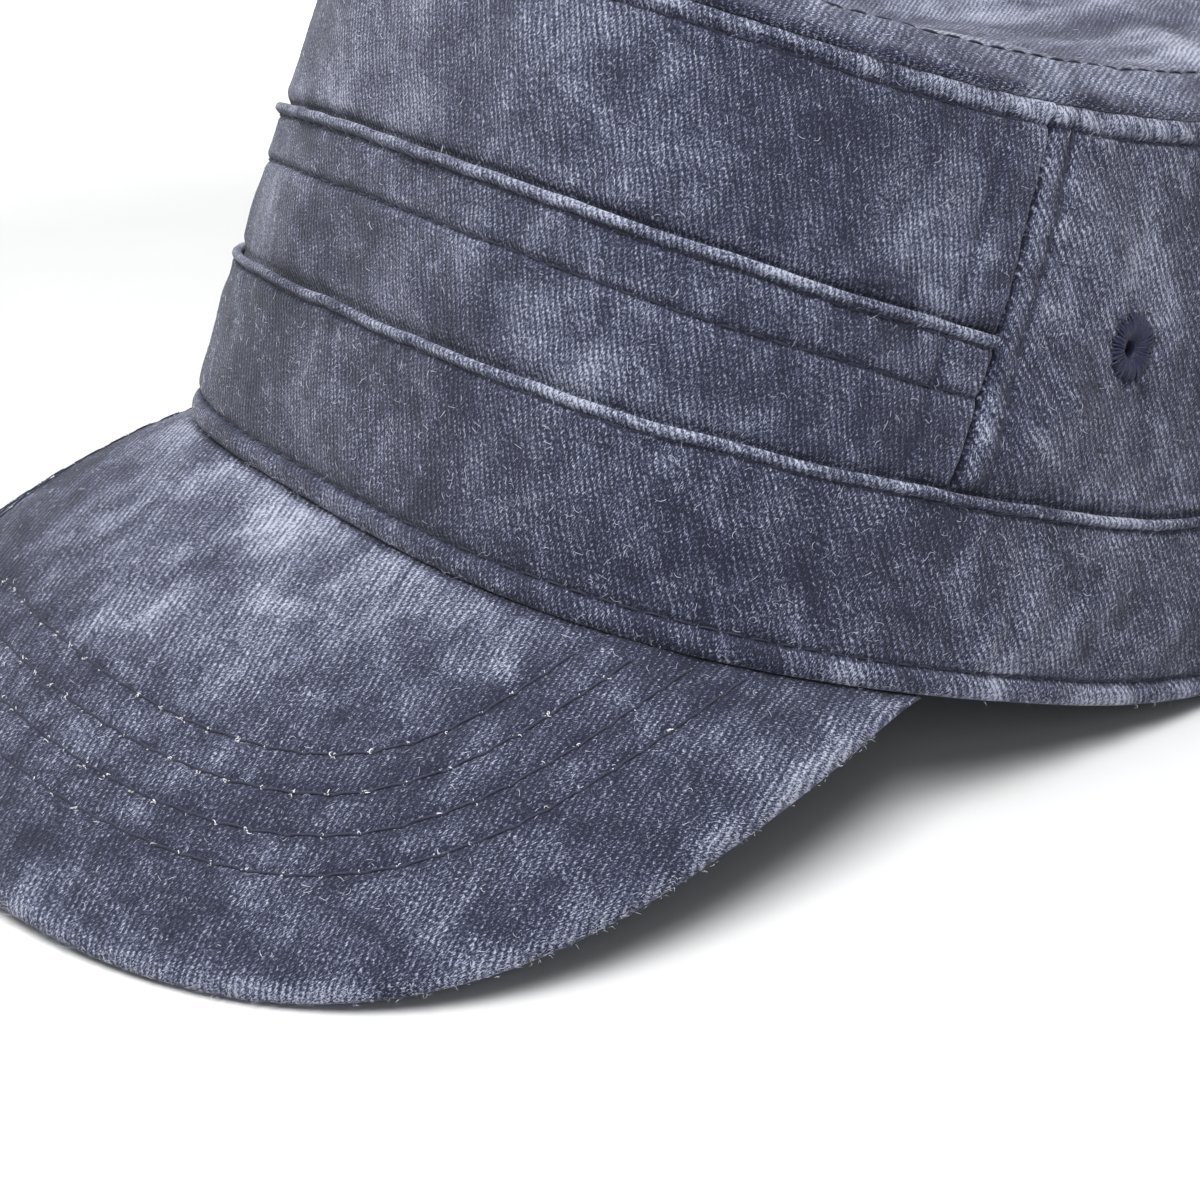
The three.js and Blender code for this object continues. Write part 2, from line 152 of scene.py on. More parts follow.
def lattice(cell, seed):
    """A number from 0 to 1 that depends only on the lattice point and the seed."""
    mixed = cell[..., 0] * 73856093 ^ cell[..., 1] * 19349663 ^ cell[..., 2] * 83492791
    mixed = (mixed + seed * 2654435761) & 0xFFFFFFFF
    mixed = ((mixed ^ (mixed >> 15)) * 2246822519) & 0xFFFFFFFF
    mixed = ((mixed ^ (mixed >> 13)) * 3266489917) & 0xFFFFFFFF
    return (mixed ^ (mixed >> 16)) / 0xFFFFFFFF


def noise(points, size, seed):
    """Soft noise from -1 to 1 with features about as large as size."""
    scaled = points / size
    cell = np.floor(scaled).astype(np.int64)
    part = scaled - cell
    part = part * part * (3 - 2 * part)
    total = 0
    for corner in itertools.product((0, 1), repeat=3):
        weight = 1
        for axis in range(3):
            weight = weight * (part[..., axis] if corner[axis] else 1 - part[..., axis])
        total = total + weight * lattice(cell + np.array(corner), seed)
    return 2 * total - 1


def place_of(turn, height):
    place = oval_point(HEM, turn)
    place[..., 2] = height
    return place


def ruffle(turn, across, pitch, slant, seed):
    """Small gathers across a line of stitches that runs round the head."""
    return noise(place_of(turn + slant * across / MM_PER_DEGREE, 0.2 * across), pitch, seed)


def pleats(run, slanted, pitch, seed):
    """Uneven folds side by side, such as cloth drawn up by a seam, from -1 to 1."""
    place = np.stack([run, 0.4 * slanted, 0 * run + 9 * seed], -1)
    phase = (run + slanted) / pitch + 0.9 * noise(place, 2.6 * pitch, seed)
    return np.sin(2 * np.pi * phase) * (0.65 + 0.5 * noise(place, 1.7 * pitch, seed + 1))


def soft_cloth(turn, height, seed):
    place = place_of(turn, height)
    return 0.5 * noise(place, 17, seed) + 0.3 * noise(place, 7.5, seed + 1) + 0.1 * noise(place, 3, seed + 2)


# The wall's surface

def oval_point(oval, turn):
    sine = np.sin(np.radians(turn))
    cosine = np.cos(np.radians(turn))
    power = oval["squareness"]
    terms = np.abs(cosine / oval["half_length"]) ** power + np.abs(sine / oval["half_width"]) ** power
    reach = terms ** (-1 / power)
    return np.stack([reach * sine, oval["set_back"] - reach * cosine, 0 * reach], -1)


def hem_level(y):
    ahead = np.maximum(HEM_LIFT["middle"] + HEM_LIFT["blend"] / 2 - y, 0)
    eased = np.minimum(ahead, HEM_LIFT["blend"])
    return HEM_LIFT["slope"] * (eased ** 2 / (2 * HEM_LIFT["blend"]) + ahead - eased)


def rim_level(y):
    return RIM_LEVEL["middle"] + RIM_LEVEL["slope"] * y + RIM_LEVEL["dip"] * y ** 2


def hem_point(turn):
    point = oval_point(HEM, turn)
    point[..., 2] = hem_level(point[..., 1])
    return point


def rim_point(turn):
    point = oval_point(RIM, turn)
    point[..., 2] = rim_level(point[..., 1])
    return point


def wall_height(turn):
    return np.linalg.norm(rim_point(turn) - hem_point(turn), axis=-1)


def unit(vector):
    return vector / np.maximum(np.linalg.norm(vector, axis=-1, keepdims=True), 1e-9)


def outward_at(turn):
    across = hem_point(turn + 0.5) - hem_point(turn - 0.5)
    across = across + rim_point(turn + 0.5) - rim_point(turn - 0.5)
    return unit(np.cross(across, rim_point(turn) - hem_point(turn)))


def level_at(line, turn):
    front_back = line["front_back"] * np.cos(np.radians(turn))
    front_side = line["front_side"] * np.cos(2 * np.radians(turn))
    return line["height"] + front_back + front_side


def seam_turn(height):
    return SIDE_SEAM["turn"] + SIDE_SEAM["lean"] * (height - BAND_RIDGE["height"]) / SIDE_SEAM["rise"]


def behind_seam(turn, height):
    """How far behind the side seam a point is. It is negative in front of the seam."""
    return (np.abs(turn) - seam_turn(height)) * MM_PER_DEGREE


def fold_rise(u, v, slant, length, width, rise):
    cosine, sine = math.cos(math.radians(slant)), math.sin(math.radians(slant))
    run = u * cosine + v * sine
    side = v * cosine - u * sine
    return rise * np.cos(np.pi * np.clip(run / length, -0.5, 0.5)) * bump(side, width)


def folds_at(folds, turn, height):
    total = 0 * turn
    for fold_turn, fold_height, *shape in folds:
        around = (turn - fold_turn + 180) % 360 - 180
        total = total + fold_rise(around * MM_PER_DEGREE, height - fold_height, *shape)
    return total


def from_eyelet(turn, height):
    return np.hypot((np.abs(turn) - EYELET["turn"]) * MM_PER_DEGREE, height - EYELET["height"])


def wall_fold_rise(turn, height):
    ridge = level_at(BAND_RIDGE, turn)
    ease = smooth(ridge, ridge + 8, height)
    ease_top = 1 - smooth(wall_height(turn) - 14, wall_height(turn) - 4, height)
    flatness = smooth(2 * EYELET["radius"], 4 * EYELET["radius"], from_eyelet(turn, height))
    return folds_at(WALL_FOLDS, turn, height) * ease * ease_top * flatness


def wall_point(turn, height, offset):
    turn, height, offset = np.broadcast_arrays(turn, height, offset)
    along = height / wall_height(turn)
    lift = offset + WALL_BULGE * 4 * along * (1 - along) + wall_fold_rise(turn, height)
    foot = hem_point(turn)
    return foot + (rim_point(turn) - foot) * along[..., None] + outward_at(turn) * lift[..., None]


def arc_lengths(point_at):
    turns = np.linspace(-180, 180, 1441)
    steps = np.linalg.norm(np.diff(point_at(turns), axis=0), axis=-1)
    lengths = np.concatenate([[0], np.cumsum(steps)])
    return turns, lengths - lengths[720]


HEM_ARC = arc_lengths(hem_point)
RIM_ARC = arc_lengths(rim_point)


def cloth_run(turn, height, straight):
    """Distance along the cloth from the front. A straight strip isn't narrowed to the rim."""
    low = np.interp(turn, *HEM_ARC)
    high = np.interp(turn, *RIM_ARC)
    along = 0.2 if straight else height / wall_height(turn)
    return low + (high - low) * along


def eased_beyond(run, start, slope, width):
    """The run with its rate raised by slope beyond start, in a gentle bend."""
    past = run - start
    return run + slope / 2 * (past + np.hypot(past, width))


# Lines that the stations of a cross-section are set out from

def wander(turn, seed):
    """How far a hand-guided line of sewing strays."""
    place = oval_point(HEM, turn)
    return 0.26 * noise(place, 13, seed) + 0.12 * noise(place, 5, seed + 20)


def at_foot(turn):
    return 0 * turn


def at_hem_stitch(turn):
    return level_at(HEM_STITCH, turn)


def at_band_ridge(turn):
    return level_at(BAND_RIDGE, turn) + wander(turn, 1)


def at_tuck_ridge(turn):
    return level_at(TUCK_RIDGE, turn) + wander(turn, 2)


def at_tuck_stitch(turn):
    return level_at(TUCK_RIDGE, turn) - TUCK_STITCH_DROP + wander(turn, 3)


def at_strip(turn):
    return wall_height(turn) - level_at(RIM_STRIP, turn) + wander(turn, 4)


# Grids

def smooth_through(knots, values, wanted):
    """Values between knots with no overshoot. Each column of values is its own curve."""
    step = np.diff(knots)[:, None]
    slope = np.diff(values, axis=0) / step
    before, after = slope[:-1], slope[1:]
    same_way = before * after > 0
    total = np.where(same_way, before + after, 1)
    tangent = np.zeros_like(values)
    tangent[1:-1] = np.where(same_way, 2 * before * after / total, 0)
    tangent[0], tangent[-1] = slope[0], slope[-1]
    which = np.clip(np.searchsorted(knots, wanted, side="right") - 1, 0, len(knots) - 2)
    width = step[which]
    part = (wanted - knots[which])[:, None] / width
    start, end = values[which], values[which + 1]
    curve = (2 * part ** 3 - 3 * part ** 2 + 1) * start + (3 * part ** 2 - 2 * part ** 3) * end
    curve = curve + (part ** 3 - 2 * part ** 2 + part) * width * tangent[which]
    return curve + (part ** 3 - part ** 2) * width * tangent[which + 1]


def row_places(knots, counts):
    places = [knots[:1]]
    for k, count in enumerate(counts[1:]):
        places.append(np.linspace(knots[k], knots[k + 1], count + 1)[1:])
    return np.concatenate(places)


def seamed_columns(count, length):
    """Shares of a strip's length, in fine steps beside the seam at each end."""
    fine = np.array([0, 0.12, 0.28, 0.5, 0.75, 1.05, 1.4, 1.8, 2.3, 2.9, 3.6, 4.3]) / length
    middle = np.linspace(fine[-1], 1 - fine[-1], count + 1)[1:-1]
    return np.concatenate([fine, middle, 1 - fine[::-1]])


def grid_normals(points, closed):
    if closed:
        across = np.roll(points, -1, 1) - np.roll(points, 1, 1)
    else:
        across = np.gradient(points, axis=1)
    return unit(np.cross(across, np.gradient(points, axis=0)))


def stands_out(points, normals, reach, closed):
    """How far each point of a grid stands out from the points around it."""
    def moved(shift, axis):
        if axis == 1 and closed:
            return np.roll(points, shift, 1)
        index = np.clip(np.arange(points.shape[axis]) - shift, 0, points.shape[axis] - 1)
        return np.take(points, index, axis)
    around = sum(moved(shift, axis) for shift in (reach, -reach) for axis in (0, 1)) / 4
    return ((points - around) * normals).sum(-1)


def grid_faces(rows, columns, closed, looped, skipped=None):
    r, c = np.meshgrid(
        np.arange(rows if looped else rows - 1),
        np.arange(columns if closed else columns - 1),
        indexing="ij",
    )
    if skipped is not None:
        kept = ~skipped[r, c]
        r, c = r[kept], c[kept]
    above, beside = (r + 1) % rows, (c + 1) % columns
    corners = [r * columns + c, r * columns + beside, above * columns + beside, above * columns + c]
    return np.stack([k.ravel() for k in corners], -1).tolist()


def ribs_at(u, v, ribs):
    """Cloth coordinates across the ribs and along them, both counted in ribs."""
    angle, pitch = ribs
    cosine, sine = math.cos(math.radians(angle)), math.sin(math.radians(angle))
    return (u * sine - v * cosine) / pitch, (u * cosine + v * sine) / pitch


def cloth_attributes(points, across, along, seed, closed, worn=0, shade=0):
    """What the twill's material reads. Worn above 0 pales the cloth where it is rubbed, and on the rim strip it also
    paints light into the shade under the top's edge. Below 0 it darkens the cloth: painted shade along stitches, in
    creases and on parts of the walls, and cloth there that stitches kept from rubbing.
    """
    shade = shade + np.maximum(-np.asarray(worn), 0)
    normals = grid_normals(points, closed)
    fine = stands_out(points, normals, 2, closed)
    broad = stands_out(points, normals, 6, closed)
    rubbed = np.clip(1.6 * fine, 0, 0.45) + np.clip(0.5 * broad, 0, 0.4)
    worn = worn + rubbed * np.clip(0.55 + 0.9 * noise(points, 8, 7), 0.1, 1.1)
    # Painted shade in the hollows of the relief, on cloth that also kept its dye there.
    shade = shade + np.clip(-2 * fine, 0, 0.6) + np.clip(-0.5 * broad, 0, 0.3)
    cloth = np.stack([across.ravel(), along.ravel(), np.full(across.size, float(seed))], -1)
    return {"cloth": cloth, "worn": np.clip(worn, 0, 1).ravel(), "shade": np.clip(shade, 0, 1).ravel()}


def make_object(name, points, faces, material, attributes=None):
    placed = (points + np.array([0, MID_LENGTH, 0])) * METRE
    mesh = bpy.data.meshes.new(name)
    mesh.from_pydata(placed.tolist(), [], faces)
    mesh.shade_smooth()
    for key, values in (attributes or {}).items():
        kind, field = ("FLOAT_VECTOR", "vector") if values.ndim == 2 else ("FLOAT", "value")
        layer = mesh.attributes.new(key, kind, "POINT")
        layer.data.foreach_set(field, values.astype(np.float32).ravel())
    mesh.materials.append(material)
    piece = bpy.data.objects.new(name, mesh)
    bpy.context.scene.collection.objects.link(piece)
    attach(piece, "root")
    return piece


class Surface:
    """A finished piece's surface, for laying threads and fibres on."""

    def __init__(self, points, faces):
        self.tree = BVHTree.FromPolygons(points.tolist(), faces)

    def drop(self, starts, directions):
        """Where rays meet the surface, with its normals there. A missed ray gives NaN."""
        places, normals = [], []
        for start, direction in zip(starts, directions):
            hit, normal, _, _ = self.tree.ray_cast(Vector(start), Vector(direction))
            if hit is None:
                places.append((math.nan,) * 3)
                normals.append((0, 0, 1))
                continue
            if normal.dot(Vector(direction)) > 0:
                normal = -normal
            places.append(tuple(hit))
            normals.append(tuple(normal))
        return np.array(places), np.array(normals)

    def on_wall(self, turn, height):
        outward = outward_at(turn)
        return self.drop(wall_point(turn, height, 6), -outward)

    def from_above(self, x, y):
        starts = np.stack([x, y, np.full(len(x), 150.0)], -1)
        return self.drop(starts, np.broadcast_to([0, 0, -1], starts.shape))

    def from_below(self, x, y):
        starts = np.stack([x, y, np.full(len(x), -20.0)], -1)
        return self.drop(starts, np.broadcast_to([0, 0, 1], starts.shape))


def finish_cloth(name, nodes, points, faces, attributes):
    flat = points.reshape(-1, 3)
    piece = make_object(name, flat, faces, twill, attributes)
    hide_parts(*nodes)
    surfaces[name] = Surface(flat, faces)
    return piece


def wall_piece(name, node, stations, columns, start, end, relief, ribs, seed,
               closed=False, straight=False, worn=None, hole_side=0):
    """A closed shell of cloth whose cross-section runs up the outside and down the inside."""
    lines, shifts, offsets, shares, counts = zip(*stations)
    levels = []
    for line, shift in zip(lines, shifts):
        turn = start(0) + (end(0) - start(0)) * columns
        for _ in range(3):
            level = line(turn) + shift
            turn = start(level) + (end(level) - start(level)) * columns
        levels.append(level)
    levels = np.array(levels)
    profile = np.array(offsets, float)[:, None]
    steps = np.hypot(np.diff(levels.mean(1)), np.diff(profile[:, 0]))
    knots = np.concatenate([[0], np.cumsum(np.maximum(steps, 0.05))])
    wanted = row_places(knots, counts)
    height = smooth_through(knots, levels, wanted)
    offset = smooth_through(knots, profile, wanted)
    share = smooth_through(knots, np.array(shares, float)[:, None], wanted)
    turn = start(height) + (end(height) - start(height)) * columns + 0 * height
    skipped = None
    if hole_side:
        turn, height, skipped = cut_hole(turn, height, hole_side)
    points = wall_point(turn, height, offset + share * relief(turn, height))
    points[..., 2] = np.maximum(points[..., 2], 0)
    rows, width = turn.shape
    run = cloth_run(turn, height, straight)
    if straight:
        run = eased_beyond(run, 75, -0.22, 20) - eased_beyond(-run, 75, -0.22, 20) - run
    across, along = ribs_at(run, height, ribs)
    extra = worn(turn, height) * share if worn else 0
    attributes = cloth_attributes(points, across, along, seed, closed, worn=extra)
    faces = grid_faces(rows, width, closed, True, skipped)
    if not closed:
        faces.append([r * width for r in range(rows)])
        faces.append([r * width + width - 1 for r in reversed(range(rows))])
    return finish_cloth(name, [node], points, faces, attributes)


def cut_hole(turn, height, side):
    """Clears a round hole for the eyelet, and draws the cells beside it onto its edge."""
    across = (turn - side * EYELET["turn"]) * MM_PER_DEGREE
    up = height - EYELET["height"]
    radius = EYELET["barrel"] + 0.05
    middle_across = (across + np.roll(across, -1, 1)) / 2
    middle_up = (up + np.roll(up, -1, 0)) / 2
    skipped = np.hypot(middle_across, middle_up) < radius
    touched = skipped | np.roll(skipped, 1, 0) | np.roll(skipped, 1, 1)
    touched |= np.roll(np.roll(skipped, 1, 0), 1, 1)
    away = np.maximum(np.hypot(across, up), 0.05)
    scale = np.where(touched, radius / away, 1)
    turn = side * EYELET["turn"] + across * scale / MM_PER_DEGREE
    return turn, EYELET["height"] + up * scale, skipped


# Relief of the sewn cloth

def edge_tube(down, turn, seed):
    """Uneven thickness of the rolled edge above an edge stitch, and the pull of its stitches."""
    tube = (0.24 * ruffle(turn, down, 3.1, 0.7, seed) + 0.2 * ruffle(turn, down, 8, 0.7, seed + 5)) * (1 - smooth(1.5, 2.0, down))
    pull = 0.5 + 0.5 * np.cos(2 * np.pi * cloth_run(turn, 0, True) / STITCH)
    return tube - 0.2 * pull * bump(down - EDGE_STITCH_DROP, 0.5)


def flutes(down, turn, seed, reach=5, strength=0.34, pitch=3.4):
    """Upright gathers below a rolled edge. They are deepest where the front curves away."""
    deeper = 1 + 1.9 * bump(np.abs(turn) - 40, 14)
    ease = smooth(1.9, 3.2, down) * fade(down - 2.4, reach)
    return strength * deeper * ruffle(turn, down, pitch, 0.12, seed) * ease


def stitch_pull(distance, turn, depth, seed):
    """A shallow trough along a line of stitches that deepens at every needle hole."""
    pull = 0.6 + 0.4 * np.cos(2 * np.pi * cloth_run(turn, 0, True) / STITCH + seed)
    return -depth * pull * bump(distance, 0.55)


def stitch_groove_shade(distance):
    """Painted shade in the groove of a line of stitches, on cloth that the stitches also kept from rubbing."""
    return -0.55 * bump(distance, 0.42)


def seam_edge(distance):
    return -1.3 * bump(distance, 0.35) - 0.22 * bump(distance, 1.3)


def seam_gathers(distance, height, reach, seed):
    """Folds that cross a seam at a slant, drawn up by its stitches."""
    place = np.stack([0.3 * distance, height + 0.55 * distance, 0 * height], -1)
    folds = 0.26 * pleats(height, 0.6 * distance, 6.5, seed) + 0.5 * noise(place, 10, seed + 1)
    return folds * fade(distance, reach)


def rim_gathers(turn, height, seed):
    above = height - at_strip(turn)
    run = cloth_run(turn, 0 * turn, True)
    strip = 0.34 * pleats(run, 1.6 * above, 7.5, seed) + 0.35 * ruffle(turn, above, 4, 0.9, seed)
    below = 0.16 * pleats(run, 0.9 * above, 7.5, seed) + 0.25 * ruffle(turn, above, 6.4, 0.35, seed + 1)
    below = below * smooth(0.3, -1.5, above) * fade(-above, 6)
    return strip * smooth(0.1, 1.2, above) + below + stitch_pull(above, turn, 0.16, 1)


def band_relief(turn, height):
    down = at_band_ridge(turn) - height
    above = height - at_hem_stitch(turn)
    hem = 0.42 * ruffle(turn, above, 3.6, 0.9, 11) * smooth(0.2, -0.9, above)
    hem = hem + 0.36 * ruffle(turn, above, 4.4, 0.4, 12) * smooth(0.2, 1.4, above) * fade(above, 4.5)
    folds = folds_at(BAND_FOLDS, turn, height) * smooth(3, 8, down)
    soft = soft_cloth(turn, height, 15) * smooth(2, 6, down) * smooth(0, 5, above)
    stitch = stitch_pull(above, turn, 0.14, 2)
    return hem + folds + soft + stitch + edge_tube(down, turn, 13) + flutes(down, turn, 14)


def front_seam(turn, height, seed):
    """The front panels' edge at the side seam, with the allowance pressed under it."""
    inside = -behind_seam(turn, height)
    allowance = ALLOWANCE["raise"] * smooth(0.3, 1.2, inside) * smooth(8.8, 7.4, inside)
    roll = 0.2 * bump(inside - 1.4, 1.1)
    uneven = 0.6 + 0.5 * noise(place_of(turn, height), 6, seed + 5)
    crease = -0.75 * uneven * bump(inside - 8.1, 0.8)
    return allowance + roll + crease + seam_edge(inside) + 0.6 * seam_gathers(inside, height, 6, seed)


def front_lower_relief(turn, height):
    down = at_tuck_ridge(turn) - height
    up = height - at_band_ridge(turn)
    above_stitch = height - at_tuck_stitch(turn)
    soft = soft_cloth(turn, height, 25) * smooth(0, 4, up) * smooth(2, 5, down)
    behind_band = 0.22 * ruffle(turn, up, 5, 0.2, 26) * smooth(0.4, 2, up) * fade(up - 1.5, 4)
    tuck = 0.16 * ruffle(turn, above_stitch, 3.8, 0.15, 27) * bump(above_stitch - 3.2, 3.4)
    stitch = stitch_pull(above_stitch, turn, 0.18, 3)
    sewn = edge_tube(down, turn, 23) + flutes(down, turn, 24, reach=4, strength=0.3)
    return soft + behind_band + tuck + stitch + sewn + front_seam(turn, height, 28)


def front_upper_relief(turn, height):
    up = height - at_tuck_ridge(turn)
    below_strip = at_strip(turn) - height
    soft = soft_cloth(turn, height, 35) * smooth(0, 5, up) * smooth(0, 4, below_strip)
    behind_tuck = 0.24 * ruffle(turn, up, 5, 0.2, 36) * smooth(0.4, 2, up) * fade(up - 1.5, 4)
    return soft + behind_tuck + rim_gathers(turn, height, 37) + front_seam(turn, height, 38)


def side_relief(turn, height):
    inside = behind_seam(turn, height)
    from_back = (180 - np.abs(turn)) * MM_PER_DEGREE
    away = from_eyelet(turn, height)
    up = height - at_band_ridge(turn)
    soft = soft_cloth(turn, height, 45) * smooth(0, 5, up) * smooth(0, 4, at_strip(turn) - height)
    behind_band = 0.25 * ruffle(turn, up, 5, 0.3, 46) * smooth(0.4, 2, up) * fade(up - 1.5, 5)
    seams = seam_edge(inside) + seam_edge(from_back)
    uneven = 0.75 + 0.6 * noise(place_of(turn, height), 8, 47)
    depth = 0.2 + 0.14 * smooth(56, 72, height)
    topstitch = -depth * uneven * bump(inside - SIDE_TOPSTITCH, 0.8) + 0.15 * bump(inside - 2.4, 1.3)
    topstitch = topstitch - 0.3 * bump(from_back - SIDE_TOPSTITCH, 0.7)
    gathers = 1.3 * seam_gathers(inside, height, 9, 48) * (0.25 + 0.75 * smooth(0.3, 3, inside))
    gathers = gathers + seam_gathers(from_back, height, 7, 49)
    ray = np.arctan2(height - EYELET["height"], (np.abs(turn) - EYELET["turn"]) * MM_PER_DEGREE)
    pucker = 0.16 * np.cos(9 * ray + 0.8) * bump(away - 6, 2) - 0.35 * bump(away, 4.5)
    ease = smooth(3, 7, away)
    return ease * (soft + gathers + behind_band) + pucker + seams + topstitch + rim_gathers(turn, height, 37)


def ridge_wear_and_shade(turn, down):
    """A rolled edge is rubbed pale here and there along its top, with painted shade along the edge stitch below it."""
    top = (0.08 + 0.4 * noise(place_of(turn, 0.3 * down), 7, 60)) * smooth(1.7, 0.9, down)
    return top + stitch_groove_shade(down - EDGE_STITCH_DROP)


def band_wear_and_shade(turn, height):
    above = height - at_hem_stitch(turn)
    spots = smooth(-0.1, 0.7, noise(place_of(turn, 0.4 * height), 6, 61))
    hem = 0.5 * spots * smooth(0.3, -1.2, above)
    corner = 0.45 * bump(np.abs(turn) - 66, 7) * bump(height - 5, 7) * (0.5 + spots)
    # Painted shade: the band is darker below its ridge, most at the front under the peak.
    darkening = -(0.12 + 0.56 * smooth(70, 42, np.abs(turn))) * smooth(1.5, 3, at_band_ridge(turn) - height)
    return hem + corner + darkening + stitch_groove_shade(above) + ridge_wear_and_shade(turn, at_band_ridge(turn) - height)


def lower_wear_and_shade(turn, height):
    down = at_tuck_ridge(turn) - height
    stitches = stitch_groove_shade(height - at_tuck_stitch(turn))
    # The lower front panel is darker below its tuck ridge; painted shade along its lines of stitches.
    return ridge_wear_and_shade(turn, down) - 0.27 * smooth(1.5, 3, down) + stitches + front_seam_wear_and_shade(turn, height)


def front_seam_wear_and_shade(turn, height):
    inside = -behind_seam(turn, height)
    # A paler rubbed roll by the seam, and painted shade in the crease at the allowance's edge and along the seam.
    return 0.12 * bump(inside - 1.5, 1.1) - 0.3 * bump(inside - 8.1, 0.7) + stitch_groove_shade(inside - 0.3)


def strip_wear_light_and_shade(turn, height):
    above = height - at_strip(turn)
    # Pale rubbed patches on the rim strip, over a painted lightening of the whole strip against the shade under the
    # top's edge, and painted shade along its stitches.
    patches = 0.2 + 0.5 * smooth(-0.2, 0.6, noise(place_of(turn, 0.3 * height), 5.5, 62))
    return patches * smooth(0.2, 1.2, above) + stitch_groove_shade(above)


def upper_wear_light_and_shade(turn, height):
    # Painted shade: below the rim strip the front panel darkens towards the wearer's left, the side turned from the
    # front-left lamp.
    darkening = -0.38 * smooth(-10, 55, turn) * smooth(0.5, -1, height - at_strip(turn))
    return strip_wear_light_and_shade(turn, height) + front_seam_wear_and_shade(turn, height) + darkening


def side_wear_light_and_shade(turn, height):
    seam = bump(behind_seam(turn, height) - 6.2, 1.6) + 0.8 * bump(behind_seam(turn, height) - 2, 1.2)
    seam = 0.28 * seam * smooth(-0.4, 0.5, noise(place_of(turn, height), 7, 63))
    stitches = stitch_groove_shade(behind_seam(turn, height) - SIDE_TOPSTITCH) * (0.3 + 0.7 * smooth(56, 72, height))
    # Darker below the rim strip, with painted shade along the seam's edge.
    darkening = -0.1 * smooth(0.5, -1, height - at_strip(turn)) + stitch_groove_shade(behind_seam(turn, height) - 0.3)
    return strip_wear_light_and_shade(turn, height) + seam + stitches + darkening


# Cross-sections of the wall: line, shift, offset, share of the relief, rows

BAND_SECTION = [
    (at_foot, 0.0, -1.0, 0, 1), (at_foot, 0.05, -0.3, 0.3, 2), (at_foot, 0.35, 0.3, 0.7, 2),
    (at_foot, 1.0, 0.7, 1, 2), (at_foot, 1.9, 0.8, 1, 2), (at_hem_stitch, -0.9, 0.5, 1, 2),
    (at_hem_stitch, -0.35, -0.05, 1, 2), (at_hem_stitch, 0, -0.32, 1, 1),
    (at_hem_stitch, 0.35, -0.1, 1, 1), (at_hem_stitch, 1.0, 0.15, 1, 2),
    (at_hem_stitch, 2.5, 0.25, 1, 2), (at_band_ridge, -4, 0.25, 1, 22),
    (at_band_ridge, -2.8, 0.2, 1, 2), (at_band_ridge, -2.25, 0.05, 1, 2),
    (at_band_ridge, -1.95, -0.2, 1, 1), (at_band_ridge, -1.7, 0.0, 1, 1),
    (at_band_ridge, -1.4, 0.35, 1, 2), (at_band_ridge, -0.95, 0.68, 1, 2),
    (at_band_ridge, -0.4, 0.65, 1, 2), (at_band_ridge, -0.05, 0.3, 0.8, 2),
    (at_band_ridge, 0, 0.0, 0.6, 1), (at_band_ridge, -0.25, -0.5, 0.3, 2),
    (at_band_ridge, -0.9, -0.85, 0, 2), (at_band_ridge, -7.7, -1, 0, 4),
    (at_band_ridge, -8.6, -1.7, 0, 2), (at_hem_stitch, 1.6, -1.7, 0, 6),
    (at_foot, 1.2, -1.75, 0, 2), (at_foot, 0.1, -1.6, 0, 1),
]
LOWER_SECTION = [
    (at_band_ridge, -6, -1.3, 0, 1), (at_band_ridge, 0.2, -1.25, 0, 5),
    (at_band_ridge, 1.1, -0.85, 0.4, 3), (at_band_ridge, 2.5, -0.5, 1, 3),
    (at_tuck_stitch, -1.6, -0.5, 1, 16), (at_tuck_stitch, -0.55, -0.75, 1, 2),
    (at_tuck_stitch, 0, -1.0, 1, 2), (at_tuck_stitch, 0.4, -0.65, 1, 1),
    (at_tuck_stitch, 1.3, -0.25, 1, 2), (at_tuck_ridge, -4, -0.25, 1, 6),
    (at_tuck_ridge, -2.7, -0.35, 1, 3), (at_tuck_ridge, -1.95, -0.65, 1, 2),
    (at_tuck_ridge, -1.7, -0.4, 1, 1), (at_tuck_ridge, -1.4, 0.05, 1, 2),
    (at_tuck_ridge, -0.95, 0.38, 1, 2), (at_tuck_ridge, -0.4, 0.35, 1, 2),
    (at_tuck_ridge, -0.05, 0.1, 0.8, 2), (at_tuck_ridge, 0, -0.3, 0.6, 1),
    (at_tuck_ridge, -0.25, -0.75, 0.3, 2), (at_tuck_ridge, -0.9, -1.15, 0, 2),
    (at_tuck_ridge, -7.5, -1.3, 0, 3), (at_tuck_stitch, -1.4, -2.0, 0, 2),
    (at_band_ridge, 2, -2, 0, 5), (at_band_ridge, 0.2, -2.5, 0, 2), (at_band_ridge, -6, -2.5, 0, 2),
]


def rim_stations(rows):
    """From the cloth below the rim's lower topstitch, over the sewn edge and back inside."""
    return [
        (at_strip, -1.2, -0.5, 1, rows), (at_strip, -0.45, -0.62, 1, 2), (at_strip, 0, -0.95, 1, 2),
        (at_strip, 0.4, -0.6, 1, 1), (at_strip, 1.1, -0.2, 1, 2), (wall_height, -1.7, 0.0, 1, 3),
        (wall_height, -0.9, -0.1, 0.9, 2), (wall_height, -0.35, -0.5, 0.5, 2),
        (wall_height, -0.3, -1.3, 0, 2), (wall_height, -1.2, -1.9, 0, 2), (at_strip, -1, -2, 0, 2),
    ]


